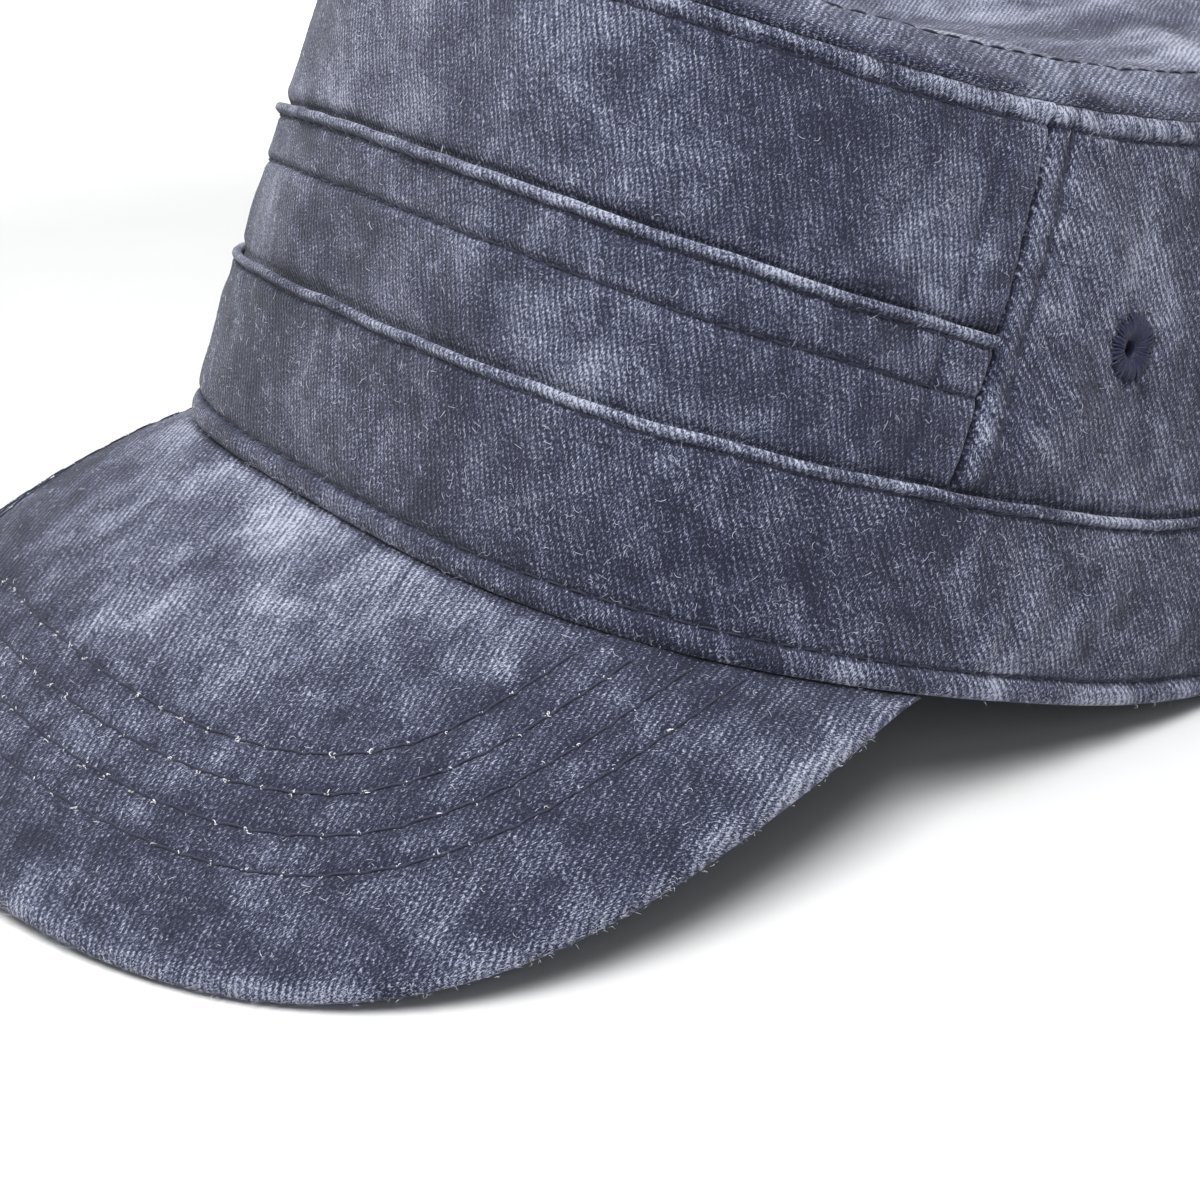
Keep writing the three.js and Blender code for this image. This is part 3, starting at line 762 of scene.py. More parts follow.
UPPER_SECTION = [
    (at_tuck_ridge, -6, -1.6, 0, 1), (at_tuck_ridge, 0.2, -1.55, 0, 5),
    (at_tuck_ridge, 1.1, -0.95, 0.4, 3), (at_tuck_ridge, 2.6, -0.5, 1, 3), *rim_stations(34),
    (at_tuck_ridge, 2, -2, 0, 9), (at_tuck_ridge, 0.2, -2.8, 0, 2), (at_tuck_ridge, -6, -2.8, 0, 2),
]
SIDE_SECTION = [
    (at_band_ridge, -6, -1.3, 0, 1), (at_band_ridge, 0.2, -1.25, 0, 5),
    (at_band_ridge, 1.1, -0.85, 0.4, 3), (at_band_ridge, 2.5, -0.5, 1, 3), *rim_stations(56),
    (at_band_ridge, 2, -2, 0, 34), (at_band_ridge, 0.2, -2.5, 0, 2), (at_band_ridge, -6, -2.5, 0, 2),
]


def make_walls():
    wall_piece(
        "hat_band_cloth", "hat_band", BAND_SECTION, np.arange(700) / 700,
        lambda height: -180, lambda height: 180, band_relief, BAND_RIBS, 3,
        closed=True, straight=True, worn=band_wear_and_shade,
    )

    def left_seam(height):
        return seam_turn(height) - SEAM_GAP

    def right_seam(height):
        return SEAM_GAP - seam_turn(height)

    wall_piece(
        "front_lower_cloth", "front_lower_panel", LOWER_SECTION, seamed_columns(240, 200),
        right_seam, left_seam, front_lower_relief, FRONT_RIBS, 17, worn=lower_wear_and_shade,
    )
    wall_piece(
        "front_upper_cloth", "front_upper_panel", UPPER_SECTION, seamed_columns(240, 205),
        right_seam, left_seam, front_upper_relief, FRONT_RIBS, 31, worn=upper_wear_light_and_shade,
    )
    side_columns = seamed_columns(226, 178)
    wall_piece(
        "side_left_cloth", "side_panel_left", SIDE_SECTION, side_columns,
        lambda height: seam_turn(height) + SEAM_GAP, lambda height: 180 - SEAM_GAP,
        side_relief, SIDE_RIBS, 47, worn=side_wear_light_and_shade, hole_side=1,
    )
    wall_piece(
        "side_right_cloth", "side_panel_right", SIDE_SECTION, side_columns,
        lambda height: SEAM_GAP - 180, lambda height: -seam_turn(height) - SEAM_GAP,
        side_relief, SIDE_RIBS, 59, worn=side_wear_light_and_shade, hole_side=-1,
    )


# Top panel

def top_fold_rise(x, y):
    return sum(fold_rise(x - fold_x, y - fold_y, *shape) for fold_x, fold_y, *shape in TOP_FOLDS)


def top_relief(turn, inset, x, y):
    place = np.stack([x, y, 0 * x], -1)
    from_stitch = inset - TOP_STITCH_INSET
    edge = 0.55 * ruffle(turn, inset, 6, 0.5, 71) * smooth(0.2, 2, inset) * smooth(9.9, 6.9, inset)
    field = 0.5 * ruffle(turn, inset, 7, 0.6, 72) * smooth(8.7, 10.4, inset) * fade(from_stitch, 7)
    soft = 0.7 * noise(place, 21, 73) + 0.26 * noise(place, 9, 74) + 0.07 * noise(place, 3.5, 75)
    scallop = 0.7 * ruffle(turn, 0 * inset, 5, 0, 76) * smooth(2.6, 0.6, inset)
    groove = -0.12 * bump(from_stitch, 0.8) + stitch_pull(from_stitch, turn, 0.1, 4)
    return edge + field + soft * smooth(6, 18, inset) + scallop + groove


def top_point(turn, inset, rise):
    rim = rim_point(turn)
    middle = np.stack([0 * turn, RIM["set_back"] + 0 * turn, rim[..., 2]], -1)
    reach = np.linalg.norm(rim - middle, axis=-1)
    point = middle + (rim - middle) * (1 - (inset + 0.3) / reach)[..., None]
    x, y = point[..., 0], point[..., 1]
    point[..., 2] = rim_level(y) + rise + top_fold_rise(x, y) * smooth(7, 22, inset)
    return point


def make_top():
    columns = 430
    turn = np.arange(columns) * 360 / columns - 180
    reach = np.linalg.norm((rim_point(turn) - [0, RIM["set_back"], 0])[..., :2], axis=-1)
    edge = [(1.6, -0.6, 0), (0.7, -0.55, 0), (0.0, -0.2, 0.4), (-0.25, 0.45, 0.8), (0.0, 1.1, 1)]
    edge += [(0.7, 1.65, 1), (1.5, 2.0, 1)]
    insets = np.array([station[0] for station in edge])
    rises = np.array([station[1] for station in edge])
    shares = np.array([station[2] for station in edge])
    upper = np.concatenate([np.arange(2.2, 12, 0.55), np.arange(12, 30, 0.95)])
    inner = 30 + (np.linspace(0, 1, 48)[:, None] ** 0.9) * (reach - 30.9)
    inset = np.concatenate([
        np.repeat(insets[:, None], columns, 1), np.repeat(upper[:, None], columns, 1), inner,
    ])
    rise = smooth_through(np.array(TOP_INSETS, float), np.array(TOP_RISES)[:, None], inset.ravel())
    rise = rise.reshape(inset.shape)
    rise[:len(edge)] = rises[:, None]
    share = np.ones(inset.shape)
    share[:len(edge)] = shares[:, None]
    turns = np.broadcast_to(turn, inset.shape)
    inset = inset + 0.5 * ruffle(turns, 0 * inset, 4.5, 0, 79) * smooth(5, 0.5, inset)
    flat = top_point(turns, inset, rise)
    relief = top_relief(turns, inset, flat[..., 0], flat[..., 1])
    outer = flat.copy()
    outer[..., 2] += share * relief
    under = flat[len(edge) + 2::3][::-1].copy()
    under[..., 2] -= TOP_THICKNESS
    points = np.concatenate([under, outer])
    rows = len(points)
    even = np.concatenate([under, flat])
    steps = np.linalg.norm(np.diff(even[::-1], axis=0), axis=-1)
    spread = np.cumsum(np.concatenate([np.full((1, columns), 0.9), steps]), axis=0)[::-1]
    from_middle = points[..., :2] - [0, RIM["set_back"]]
    laid = unit(from_middle) * spread[..., None]
    across, along = ribs_at(laid[..., 0], laid[..., 1], TOP_RIBS)
    marks = 0.5 * smooth(-0.4, 0.6, noise(flat * [1, 1, 0], 12, 77))
    # Pale rubbed patches inside the stitches, and painted shade along the line of stitches.
    marks = marks * smooth(6, 11, inset) - 0.9 * bump(inset - TOP_STITCH_INSET, 0.6)
    # Rubbing round the edge roll, and painted shade where the edge turns down into the seam.
    marks = marks + 0.25 * bump(inset - 4, 2) * noise(flat, 6, 78) - 0.45 * smooth(2.2, 0.4, inset)
    worn = np.concatenate([np.zeros(under.shape[:2]), marks * share])
    attributes = cloth_attributes(points, across, along, 83, True, worn=worn)
    low_middle, high_middle = points[0].mean(0), points[-1].mean(0)
    for key, values in attributes.items():
        ends = np.stack([values[0], values[-1]])
        if key == "cloth":
            ends = np.array([[0, 0, 83], [0, 0, 83]])
        attributes[key] = np.concatenate([values, ends])
    faces = grid_faces(rows, columns, True, False)
    low, high, last = rows * columns, rows * columns + 1, (rows - 1) * columns
    for c in range(columns):
        beside = (c + 1) % columns
        faces.append([low, beside, c])
        faces.append([last + c, last + beside, high])
    everything = np.concatenate([points.reshape(-1, 3), [low_middle, high_middle]])
    finish_cloth("top_cloth", ["top_panel"], everything, faces, attributes)


# Peak

def peak_edge(swing):
    corner = hem_point(np.array(PEAK["corner_turn"], float))
    sine = np.sin(np.radians(swing))
    cosine = np.maximum(np.cos(np.radians(swing)), 0)
    power = 2 / PEAK["roundness"]
    twice = np.sin(2 * np.radians(swing))
    x = np.sign(sine) * corner[0] * np.abs(sine) ** power + PEAK["flare"] * twice
    y = corner[1] - PEAK["reach"] * cosine ** power
    z = corner[2] + PEAK["drop"] * cosine + PEAK["tip_drop"] * cosine ** 2
    return np.stack([x, y, np.maximum(z + PEAK["shoulder_drop"] * twice ** 2, 0)], -1)


def peak_point(turn, along):
    remaining = 1 - np.abs(turn) / PEAK["corner_turn"]
    swing = np.sign(turn) * 90 * (1 - remaining ** 1.22)
    facing = np.maximum(np.cos(np.radians(swing)), 0)
    root, edge = hem_point(turn), peak_edge(swing)
    root[..., 2] -= PEAK["hem_gap"]
    edge[..., 2] += -PEAK["hem_gap"] + (PEAK["thickness"] + PEAK["hem_gap"]) * facing ** 0.4
    point = root + (edge - root) * along[..., None]
    point[..., 2] += PEAK["arch"] * 4 * along * (1 - along) * facing
    return point


def outside_hem(x, y):
    power = HEM["squareness"]
    return np.abs(y / HEM["half_length"]) ** power + np.abs(x / HEM["half_width"]) ** power > 1


def peak_outline():
    edge = peak_edge(np.linspace(-89.5, 89.5, 700))[:, :2]
    tangent = unit(np.gradient(edge, axis=0))
    inward = np.stack([-tangent[:, 1], tangent[:, 0]], -1)
    return edge, inward


def edge_distance(x, y, edge):
    away = np.empty(x.shape)
    for r in range(len(x)):
        gap = np.hypot(x[r][:, None] - edge[:, 0], y[r][:, None] - edge[:, 1])
        away[r] = gap.min(1)
    return away


def peak_sewing():
    """The lines of stitches on the peak in plan, and their needle holes."""
    edge, inward = peak_outline()
    rows = []
    for inset in PEAK_ROWS:
        insets = inset * (1 - 0.36 * smooth(-30, -80, edge[:, :1]))
        line = edge + inward * insets
        true = np.abs(edge_distance(line[None, :, 0], line[None, :, 1], edge)[0] - insets[:, 0]) < 0.25
        line = line[true & outside_hem(line[:, 0], line[:, 1])]
        run = np.concatenate([[0], np.cumsum(np.linalg.norm(np.diff(line, axis=0), axis=1))])
        stops = np.arange(rng.uniform(0.5, 2.5), run[-1], PEAK_STITCH)
        stops = stops + rng.uniform(-0.35, 0.35, len(stops))
        stops = np.clip(stops, 0, run[-1])
        rows.append(np.stack([np.interp(stops, run, line[:, k]) for k in (0, 1)], -1))
    return rows


def make_peak(rows_of_holes):
    columns = 330
    share = np.sin(np.linspace(-1, 1, columns) * np.pi / 2.35) / np.sin(np.pi / 2.35)
    turn = share * 0.998 * PEAK["corner_turn"]
    thickness = 0.3 + (PEAK["thickness"] - 0.3) * smooth(0, 0.16, 1 - np.abs(share)) ** 0.5
    width = np.linalg.norm(peak_point(turn, np.ones(columns)) - peak_point(turn, np.zeros(columns)), axis=-1)
    rounding = np.minimum(1.4, 0.3 * width)
    down = np.linspace(1, 0, 132)[:, None]
    upper_inset = rounding + (width - rounding) * down
    angle = np.radians(np.linspace(0, 180, 11)[1:])[:, None]
    round_inset = rounding * (1 - np.sin(angle))
    round_drop = thickness / 2 * (1 - np.cos(angle)) + 0 * rounding
    back = np.linspace(0, 1, 64)[1:, None]
    lower_inset = rounding + (width - rounding) * back
    inset = np.concatenate([upper_inset, round_inset, lower_inset])
    drop = np.concatenate([0 * upper_inset, round_drop, 0 * lower_inset + thickness])
    turns = np.broadcast_to(turn, inset.shape)
    points = peak_point(turns, 1 - inset / width)
    x, y = points[..., 0], points[..., 1]
    edge, _ = peak_outline()
    away = edge_distance(x, y, edge)
    holes = np.concatenate(rows_of_holes)
    from_hole = edge_distance(x, y, holes)
    place = np.stack([x, y, 0 * x], -1)
    right_side = 1 - 0.36 * smooth(-30, -80, x)
    on_row = sum(bump(away - inset_of_row * right_side, 0.55) for inset_of_row in PEAK_ROWS)
    puckers = -0.2 * on_row - 0.22 * bump(from_hole, 0.7) + 0.06 * bump(from_hole - 1.3, 0.5)
    between = smooth(PEAK_ROWS[0] - 3, PEAK_ROWS[0], away) * smooth(PEAK_ROWS[-1] + 6, PEAK_ROWS[-1], away)
    soft = 0.3 * noise(place, 26, 91) + 0.12 * noise(place, 10, 92) + (0.03 + 0.07 * between) * noise(place, 3.6, 93)
    relief = (puckers + soft) * smooth(0, 3, away)
    upward = smooth(0.6, 0, drop / thickness)
    points[..., 2] += relief * upward - drop - 0.4 * relief * (1 - upward) * (drop > 2)
    outer_root = hem_point(turn) - np.array([0, 0, PEAK["hem_gap"]])
    outward = outward_at(turn) * [1, 1, 0]
    tucked = outer_root - unit(outward) * PEAK["tucked_in"]
    below = tucked - np.stack([0 * turn, 0 * turn, thickness], -1)
    points = np.concatenate([tucked[None], points, below[None]])
    points[..., 2] = np.maximum(points[..., 2], 0)
    outside = unit(peak_edge(90 * share) - hem_point(turn) * [1, 1, 0])[..., :2]
    laid = points[..., :2] + outside * np.pad(drop, ((1, 1), (0, 0)), mode="edge")[..., None]
    across, along = ribs_at(eased_beyond(0.7 * laid[..., 0], 31.5, 0.7, 21), laid[..., 1], PEAK_RIBS)
    from_edge = np.pad(away, ((1, 1), (0, 0)), mode="edge")
    from_hole = np.pad(from_hole, ((1, 1), (0, 0)), mode="edge")
    spread = np.pad(place, ((1, 1), (0, 0), (0, 0)), mode="edge")
    from_root = np.pad((1 - inset / width) * width, ((1, 1), (0, 0)), mode="edge")
    marks = 0.75 * bump(from_edge, 1.3) + 0.32 * bump(from_edge, 4) * smooth(-0.5, 0.5, noise(spread, 7, 94))
    hem_side = 0.6 * smooth(60, 20, spread[..., 0]) * bump(from_root - 3, 11)
    marks = marks + hem_side * smooth(-0.7, 0.3, noise(spread, 16, 95))
    marks = marks + 0.2 * smooth(0, 1, noise(spread, 13, 96))
    on_row = np.pad(on_row, ((1, 1), (0, 0)), mode="edge")
    # Darker over the stitched outer part of the peak, with painted shade at each needle hole, at the root under the
    # band and, on the next line, along the rows of stitches.
    darkening = 0.6 * smooth(40, 22, from_edge) + 0.05 + 0.8 * bump(from_hole, 0.6) + 0.6 * bump(from_root, 1.2)
    darkening = darkening + 0.5 * on_row
    attributes = cloth_attributes(points, across, along, 97, False, worn=marks, shade=darkening)
    points = points[::-1]
    for key, values in attributes.items():
        grid = values.reshape(len(points), columns, -1)[::-1]
        attributes[key] = grid.reshape(values.shape)
    rows = len(points)
    faces = grid_faces(rows, columns, False, True)
    faces.append([r * columns for r in range(rows)])
    faces.append([r * columns + columns - 1 for r in reversed(range(rows))])
    finish_cloth("peak_cloth", ["peak"], points, faces, attributes)


# Threads and fibres

def tubes(paths, ups, radii, sides=6):
    """Points and faces of many round threads. Radii has one value for each point of a path."""
    count, length, _ = paths.shape
    tangent = unit(np.gradient(paths, axis=1))
    side = unit(np.cross(tangent, ups[:, None]))
    up = np.cross(side, tangent)
    angle = 2 * np.pi * np.arange(sides) / sides
    ring = np.cos(angle)[:, None] * side[:, :, None] + np.sin(angle)[:, None] * up[:, :, None]
    radii = np.broadcast_to(radii, (count, length))
    points = (paths[:, :, None] + ring * radii[:, :, None, None]).reshape(-1, 3)
    t, r, k = np.meshgrid(np.arange(count), np.arange(length - 1), np.arange(sides), indexing="ij")
    base = (t * length + r) * sides
    beside = (k + 1) % sides
    quads = np.stack([base + k, base + sides + k, base + sides + beside, base + beside], -1)
    faces = quads.reshape(-1, 4).tolist()
    for number in range(count):
        first = number * length * sides
        last = first + (length - 1) * sides
        faces.append(list(range(first, first + sides)))
        faces.append(list(range(last + sides - 1, last - 1, -1)))
    return points, faces


def sew(places, normals, pitch, radius=THREAD_RADIUS, sunk=0.2, lift=0.14, share=0.84):
    """Thread paths for one line of stitches laid along a line on a surface."""
    good = ~np.isnan(places).any(-1)
    places, normals = places[good], normals[good]
    steps = np.linalg.norm(np.diff(places, axis=0), axis=1)
    run = np.concatenate([[0], np.cumsum(steps)])
    paths, ups = [], []
    begin = rng.uniform(0, 0.5) * pitch
    while begin + pitch < run[-1]:
        stops = begin + pitch * share * np.array([0, 0.07, 0.22, 0.5, 0.78, 0.93, 1])
        lifts = np.array([-sunk, -0.3 * sunk, 0.7 * lift, lift, 0.7 * lift, -0.3 * sunk, -sunk])
        path = np.stack([np.interp(stops, run, places[:, k]) for k in range(3)], -1)
        normal = unit(np.stack([np.interp(stops, run, normals[:, k]) for k in range(3)], -1))
        broken = np.interp(stops, run[1:], steps) > 2
        if not broken.any():
            paths.append(path + normal * lifts[:, None])
            ups.append(unit(normal.mean(0)))
        begin += pitch * rng.uniform(0.95, 1.05)
    return paths, ups


def sewn_object(name, parts, radius=THREAD_RADIUS):
    paths = np.array([path for part in parts for path in part[0]])
    ups = np.array([up for part in parts for up in part[1]])
    radii = radius * np.array([0.7, 1, 1, 1, 1, 1, 0.7])
    points, faces = tubes(paths, ups, radii, sides=5)
    piece = make_object(name, points, faces, sewing_thread)
    return piece


def wall_line(name, turn, height, pitch=STITCH):
    return sew(*surfaces[name].on_wall(turn, height), pitch, lift=0.25)


def make_stitches():
    around = np.arange(-180, 180, 0.25)
    band = [
        wall_line("hat_band_cloth", around, at_hem_stitch(around)),
        wall_line("hat_band_cloth", around, at_band_ridge(around) - EDGE_STITCH_DROP),
    ]
    sewn_object("stitches_band", band)

    def front_run(level):
        turn = np.arange(-75, 75, 0.25)
        height = level(turn)
        inside = -behind_seam(turn, height) > 1.6
        return turn[inside], height[inside]

    def side_run(level, side):
        turn = np.arange(55, 180, 0.25)
        height = level(turn)
        inside = behind_seam(turn, height) > 1.2
        return side * turn[inside], height[inside]

    front = [
        wall_line("front_lower_cloth", *front_run(at_tuck_stitch)),
        wall_line("front_lower_cloth", *front_run(lambda turn: at_tuck_ridge(turn) - EDGE_STITCH_DROP)),
        wall_line("front_upper_cloth", *front_run(at_strip)),
    ]
    sewn_object("stitches_front", front)

    sides = []
    for side, name in ((1, "side_left_cloth"), (-1, "side_right_cloth")):
        sides.append(wall_line(name, *side_run(at_strip, side)))
        height = np.arange(33, 84, 0.4)
        seam = seam_turn(height) + SIDE_TOPSTITCH / MM_PER_DEGREE
        sides.append(wall_line(name, side * seam, height))
        back = np.full(len(height), 180 - SIDE_TOPSTITCH / MM_PER_DEGREE)
        below = height < at_strip(back) - 1
        sides.append(wall_line(name, side * back[below], height[below]))
    sewn_object("stitches_sides", sides)

    line = top_point(around, np.full(len(around), TOP_STITCH_INSET), 0 * around)
    top = [sew(*surfaces["top_cloth"].from_above(line[:, 0], line[:, 1]), STITCH, lift=0.22)]
    sewn_object("stitches_top", top)


def make_peak_stitches(rows_of_holes):
    paths, ups, tufts = [], [], []
    surface = surfaces["peak_cloth"]
    share = np.array([0.02, 0.08, 0.25, 0.5, 0.75, 0.92, 0.98])
    for from_above in (True, False):
        drop = surface.from_above if from_above else surface.from_below
        for holes in rows_of_holes:
            for start, end in zip(holes[:-1], holes[1:]):
                plan = start + (end - start) * share[:, None]
                places, normals = drop(plan[:, 0], plan[:, 1])
                sunk = np.array([-0.04, 0.0, 0.09, 0.12, 0.09, 0.0, -0.04])
                if np.isnan(places).any() or np.linalg.norm(end - start) > 7:
                    continue
                paths.append(places + normals * sunk[:, None])
                ups.append(unit(normals.mean(0)))
                if from_above:
                    tufts.append((places[0], normals[0]))
    radii = 0.19 * np.array([1.9, 1.2, 1, 1, 1, 1.2, 1.9])
    points, faces = tubes(np.array(paths), np.array(ups), radii, 5)
    piece = make_object("stitches_peak", points, faces, sewing_thread)
    return tufts


def fibres(name, places, normals, length, lift, radius, bend=0.7, along=None, fibre=None):
    """Short loose fibres that start at places on the cloth and curl along it."""
    count = len(places)
    steps = 6
    random = rng.normal(size=(count, 3))
    heading = unit(np.cross(np.cross(normals, random if along is None else along + 0.5 * random), normals))
    sideways = np.cross(normals, heading)
    curl = rng.normal(0, bend, count)
    lengths = length * rng.uniform(0.5, 1.5, count)
    rise = lift * rng.uniform(0.2, 1.6, count)
    t = np.linspace(0, 1, steps)
    angle = curl[:, None] * t * 2.2
    ahead = np.cumsum(np.cos(angle), 1) / steps
    aside = np.cumsum(np.sin(angle), 1) / steps
    up = np.sin(np.pi * np.clip(t * rng.uniform(0.6, 1.1, count)[:, None], 0, 1))
    paths = places[:, None] + heading[:, None] * (ahead * lengths[:, None])[..., None]
    paths = paths + sideways[:, None] * (aside * lengths[:, None])[..., None]
    paths = paths + normals[:, None] * (up * rise[:, None] - 0.03)[..., None]
    paths[..., 2] = np.maximum(paths[..., 2], 0.1)
    radii = radius * rng.uniform(0.7, 1.2, (count, 1)) * np.array([0.8, 1, 1, 1, 0.8, 0.4])
    points, faces = tubes(paths, normals, radii, sides=3)
    piece = make_object(name, points, faces, fibre or pale_fibre)
    return piece


def make_fibres(tufts):
    """White bits pulled up at the peak's needle holes, and lint on the worn cloth."""
    holes = np.array([place for place, _ in tufts])
    ups = np.array([normal for _, normal in tufts])
    count = rng.integers(1, 6, len(holes))
    picked = np.repeat(np.arange(len(holes)), count)
    spread = rng.normal(0, 0.15, (len(picked), 3)) * [1, 1, 0] + [-0.3, -0.35, 0]
    fibres("needle_tufts", holes[picked] + spread, ups[picked], 0.7, 0.26, 0.075, bend=1.5, fibre=bleached)

    turn = rng.uniform(-180, 180, 1500)
    share = rng.uniform(0, 1, 1500)
    places, normals = [], []
    for name in ("hat_band_cloth", "front_lower_cloth", "front_upper_cloth", "side_left_cloth", "side_right_cloth"):
        low, high = (4.5, 27) if name == "hat_band_cloth" else (33, 88)
        hits, ups = surfaces[name].on_wall(turn, low + (high - low) * share)
        shown = ~np.isnan(hits).any(-1)
        places.append(hits[shown])
        normals.append(ups[shown])
    fibres("lint_wall", np.concatenate(places), np.concatenate(normals), 1.4, 0.1, 0.037)

    x = rng.uniform(-95, 95, 1000)
    y = rng.uniform(-170, -60, 1000)
    hits, ups = surfaces["peak_cloth"].from_above(x, y)
    shown = ~np.isnan(hits).any(-1) & outside_hem(x, y)
    fibres("lint_peak", hits[shown], ups[shown], 1.2, 0.1, 0.037)

    x = rng.uniform(-70, 70, 600)
    y = rng.uniform(-76, 90, 600)
    hits, ups = surfaces["top_cloth"].from_above(x, y)
    shown = ~np.isnan(hits).any(-1)
    fibres("lint_top", hits[shown], ups[shown], 1.2, 0.1, 0.037)


def make_fuzz():
    """Fine fibres that stand out along the peak's edge and the hem."""
    swing = rng.uniform(-86, 86, 900)
    edge = peak_edge(swing)
    turned = peak_edge(swing + 0.5) - peak_edge(swing - 0.5)
    outward = unit(np.stack([turned[:, 1], -turned[:, 0], 0 * swing], -1))
    facing = np.cos(np.radians(swing)) ** 0.4
    height = -PEAK["hem_gap"] + (PEAK["thickness"] + PEAK["hem_gap"]) * facing
    edge[:, 2] += height - rng.uniform(0.3, 2.4, len(swing))
    edge[:, 2] = np.maximum(edge[:, 2], 0.1)
    upward = np.array([0, 0, 1]) * np.ones_like(edge)
    fibres("fuzz_peak", edge - outward * 0.25, upward, 1.0, 0.35, 0.028, along=outward * 2)
    turn = rng.uniform(-180, 180, 700)
    hem = wall_point(turn, rng.uniform(0.2, 2.2, 700), 0.5)
    out = outward_at(turn)
    fibres("fuzz_hem", hem, unit(out + [0, 0, 0.3]), 0.9, 0.5, 0.028)


# Eyelets

def make_eyelet(side, name, node):
    turn = np.array([side * EYELET["turn"]], float)
    height = np.array([EYELET["height"]], float)
    centre = wall_point(turn, height, -0.5)[0]
    across = wall_point(turn + 2, height, 0)[0] - wall_point(turn - 2, height, 0)[0]
    upward = wall_point(turn, height + 3, 0)[0] - wall_point(turn, height - 3, 0)[0]
    out = unit(np.cross(across, upward))
    right = unit(across)
    up = np.cross(out, right)

    def place(radius, angle, lift):
        flat = right * (np.cos(angle) * radius)[..., None] + up * (1.1 * np.sin(angle) * radius)[..., None]
        return centre + flat + out * np.asarray(lift)[..., None]

    count = 130
    angle = 2 * np.pi * (np.arange(count) + rng.uniform(-0.3, 0.3, count)) / count
    far = rng.uniform(3.7, 4.9, count)
    share = np.array([0, 0.06, 0.2, 0.45, 0.7, 0.9, 1])
    radius = EYELET["hole"] + 0.1 + (far[:, None] - EYELET["hole"] - 0.1) * share
    lift = np.array([-1.0, -0.45, 0.05, 0.42, 0.42, 0.18, -0.12]) + rng.uniform(-0.1, 0.1, (count, 1))
    swirl = angle[:, None] + rng.normal(0, 0.03, (count, 1)) * share
    paths = place(radius, swirl, lift)
    ups = np.broadcast_to(out, (count, 3))
    points, faces = tubes(paths, ups, 0.16 * np.array([0.8, 0.9, 1, 1.1, 1.15, 1, 0.6]), 6)

    profile = [
        (1.1, -1.9), (1.9, -1.9), (1.9, -0.7), (3.4, -0.5), (3.5, -0.3), (3.0, -0.05), (2.3, 0.05),
        (1.6, -0.1), (1.15, -0.4), (1.1, -0.9),
    ]
    ring = 48
    bead = np.array([
        place(np.array(r), np.array(2 * np.pi * k / ring), np.array(z)) for r, z in profile for k in range(ring)
    ])
    offset = len(points)
    for row in range(len(profile)):
        below, above = row * ring, (row + 1) % len(profile) * ring
        for k in range(ring):
            beside = (k + 1) % ring
            faces.append([offset + i for i in (below + k, below + beside, above + beside, above + k)])
    piece = make_object(name, np.concatenate([points, bead]), faces, satin_thread)
    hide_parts(node)


# Materials

class Nodes:
    """Short names for adding shader nodes and joining them."""

    def __init__(self, material):
        material.use_nodes = True
        self.tree = material.node_tree
        self.tree.nodes.clear()
        self.output = self.add("ShaderNodeOutputMaterial")
        self.shader = self.add("ShaderNodeBsdfPrincipled")
        self.join(self.shader.outputs[0], self.output.inputs[0])

    def add(self, kind, **settings):
        node = self.tree.nodes.new(kind)
        for key, value in settings.items():
            setattr(node, key, value)
        return node

    def join(self, source, socket):
        if hasattr(source, "is_output"):
            self.tree.links.new(source, socket)
        else:
            socket.default_value = source

    def sum(self, operation, first, second=0.0, third=0.0, clamp=False):
        node = self.add("ShaderNodeMath", operation=operation, use_clamp=clamp)
        for socket, value in zip(node.inputs, (first, second, third)):
            self.join(value, socket)
        return node.outputs[0]

    def scaled(self, vector, scale):
        node = self.add("ShaderNodeVectorMath", operation="MULTIPLY")
        self.join(vector, node.inputs[0])
        node.inputs[1].default_value = scale
        return node.outputs[0]

    def turned(self, vector, angle, size):
        """The vector turned to lie along features at an angle, and measured in their size."""
        node = self.add("ShaderNodeMapping", vector_type="TEXTURE")
        self.join(vector, node.inputs["Vector"])
        node.inputs["Rotation"].default_value = (0, 0, math.radians(angle))
        node.inputs["Scale"].default_value = size
        return node.outputs[0]

    def noise(self, vector, scale, detail=2.0, roughness=0.5, distortion=0.0):
        node = self.add("ShaderNodeTexNoise")
        self.join(vector, node.inputs["Vector"])
        node.inputs["Scale"].default_value = scale
        node.inputs["Detail"].default_value = detail
        node.inputs["Roughness"].default_value = roughness
        node.inputs["Distortion"].default_value = distortion
        return node.outputs["Fac"]

    def eased(self, value, low, high, to_low=0.0, to_high=1.0):
        node = self.add("ShaderNodeMapRange", interpolation_type="SMOOTHSTEP")
        self.join(value, node.inputs["Value"])
        limits = (("From Min", low), ("From Max", high), ("To Min", to_low), ("To Max", to_high))
        for socket, limit in limits:
            node.inputs[socket].default_value = limit
        return node.outputs[0]

    def ramp(self, value, stops):
        node = self.add("ShaderNodeValToRGB")
        self.join(value, node.inputs[0])
        elements = node.color_ramp.elements
        while len(elements) < len(stops):
            elements.new(0.5)
        for element, (place, colour) in zip(elements, stops):
            element.position = place
            element.color = (*colour, 1)
        return node.outputs[0]

    def bump(self, height, distance, strength=1.0):
        node = self.add("ShaderNodeBump")
        node.inputs["Strength"].default_value = strength
        node.inputs["Distance"].default_value = distance
        self.join(height, node.inputs["Height"])
        self.join(node.outputs[0], self.shader.inputs["Normal"])


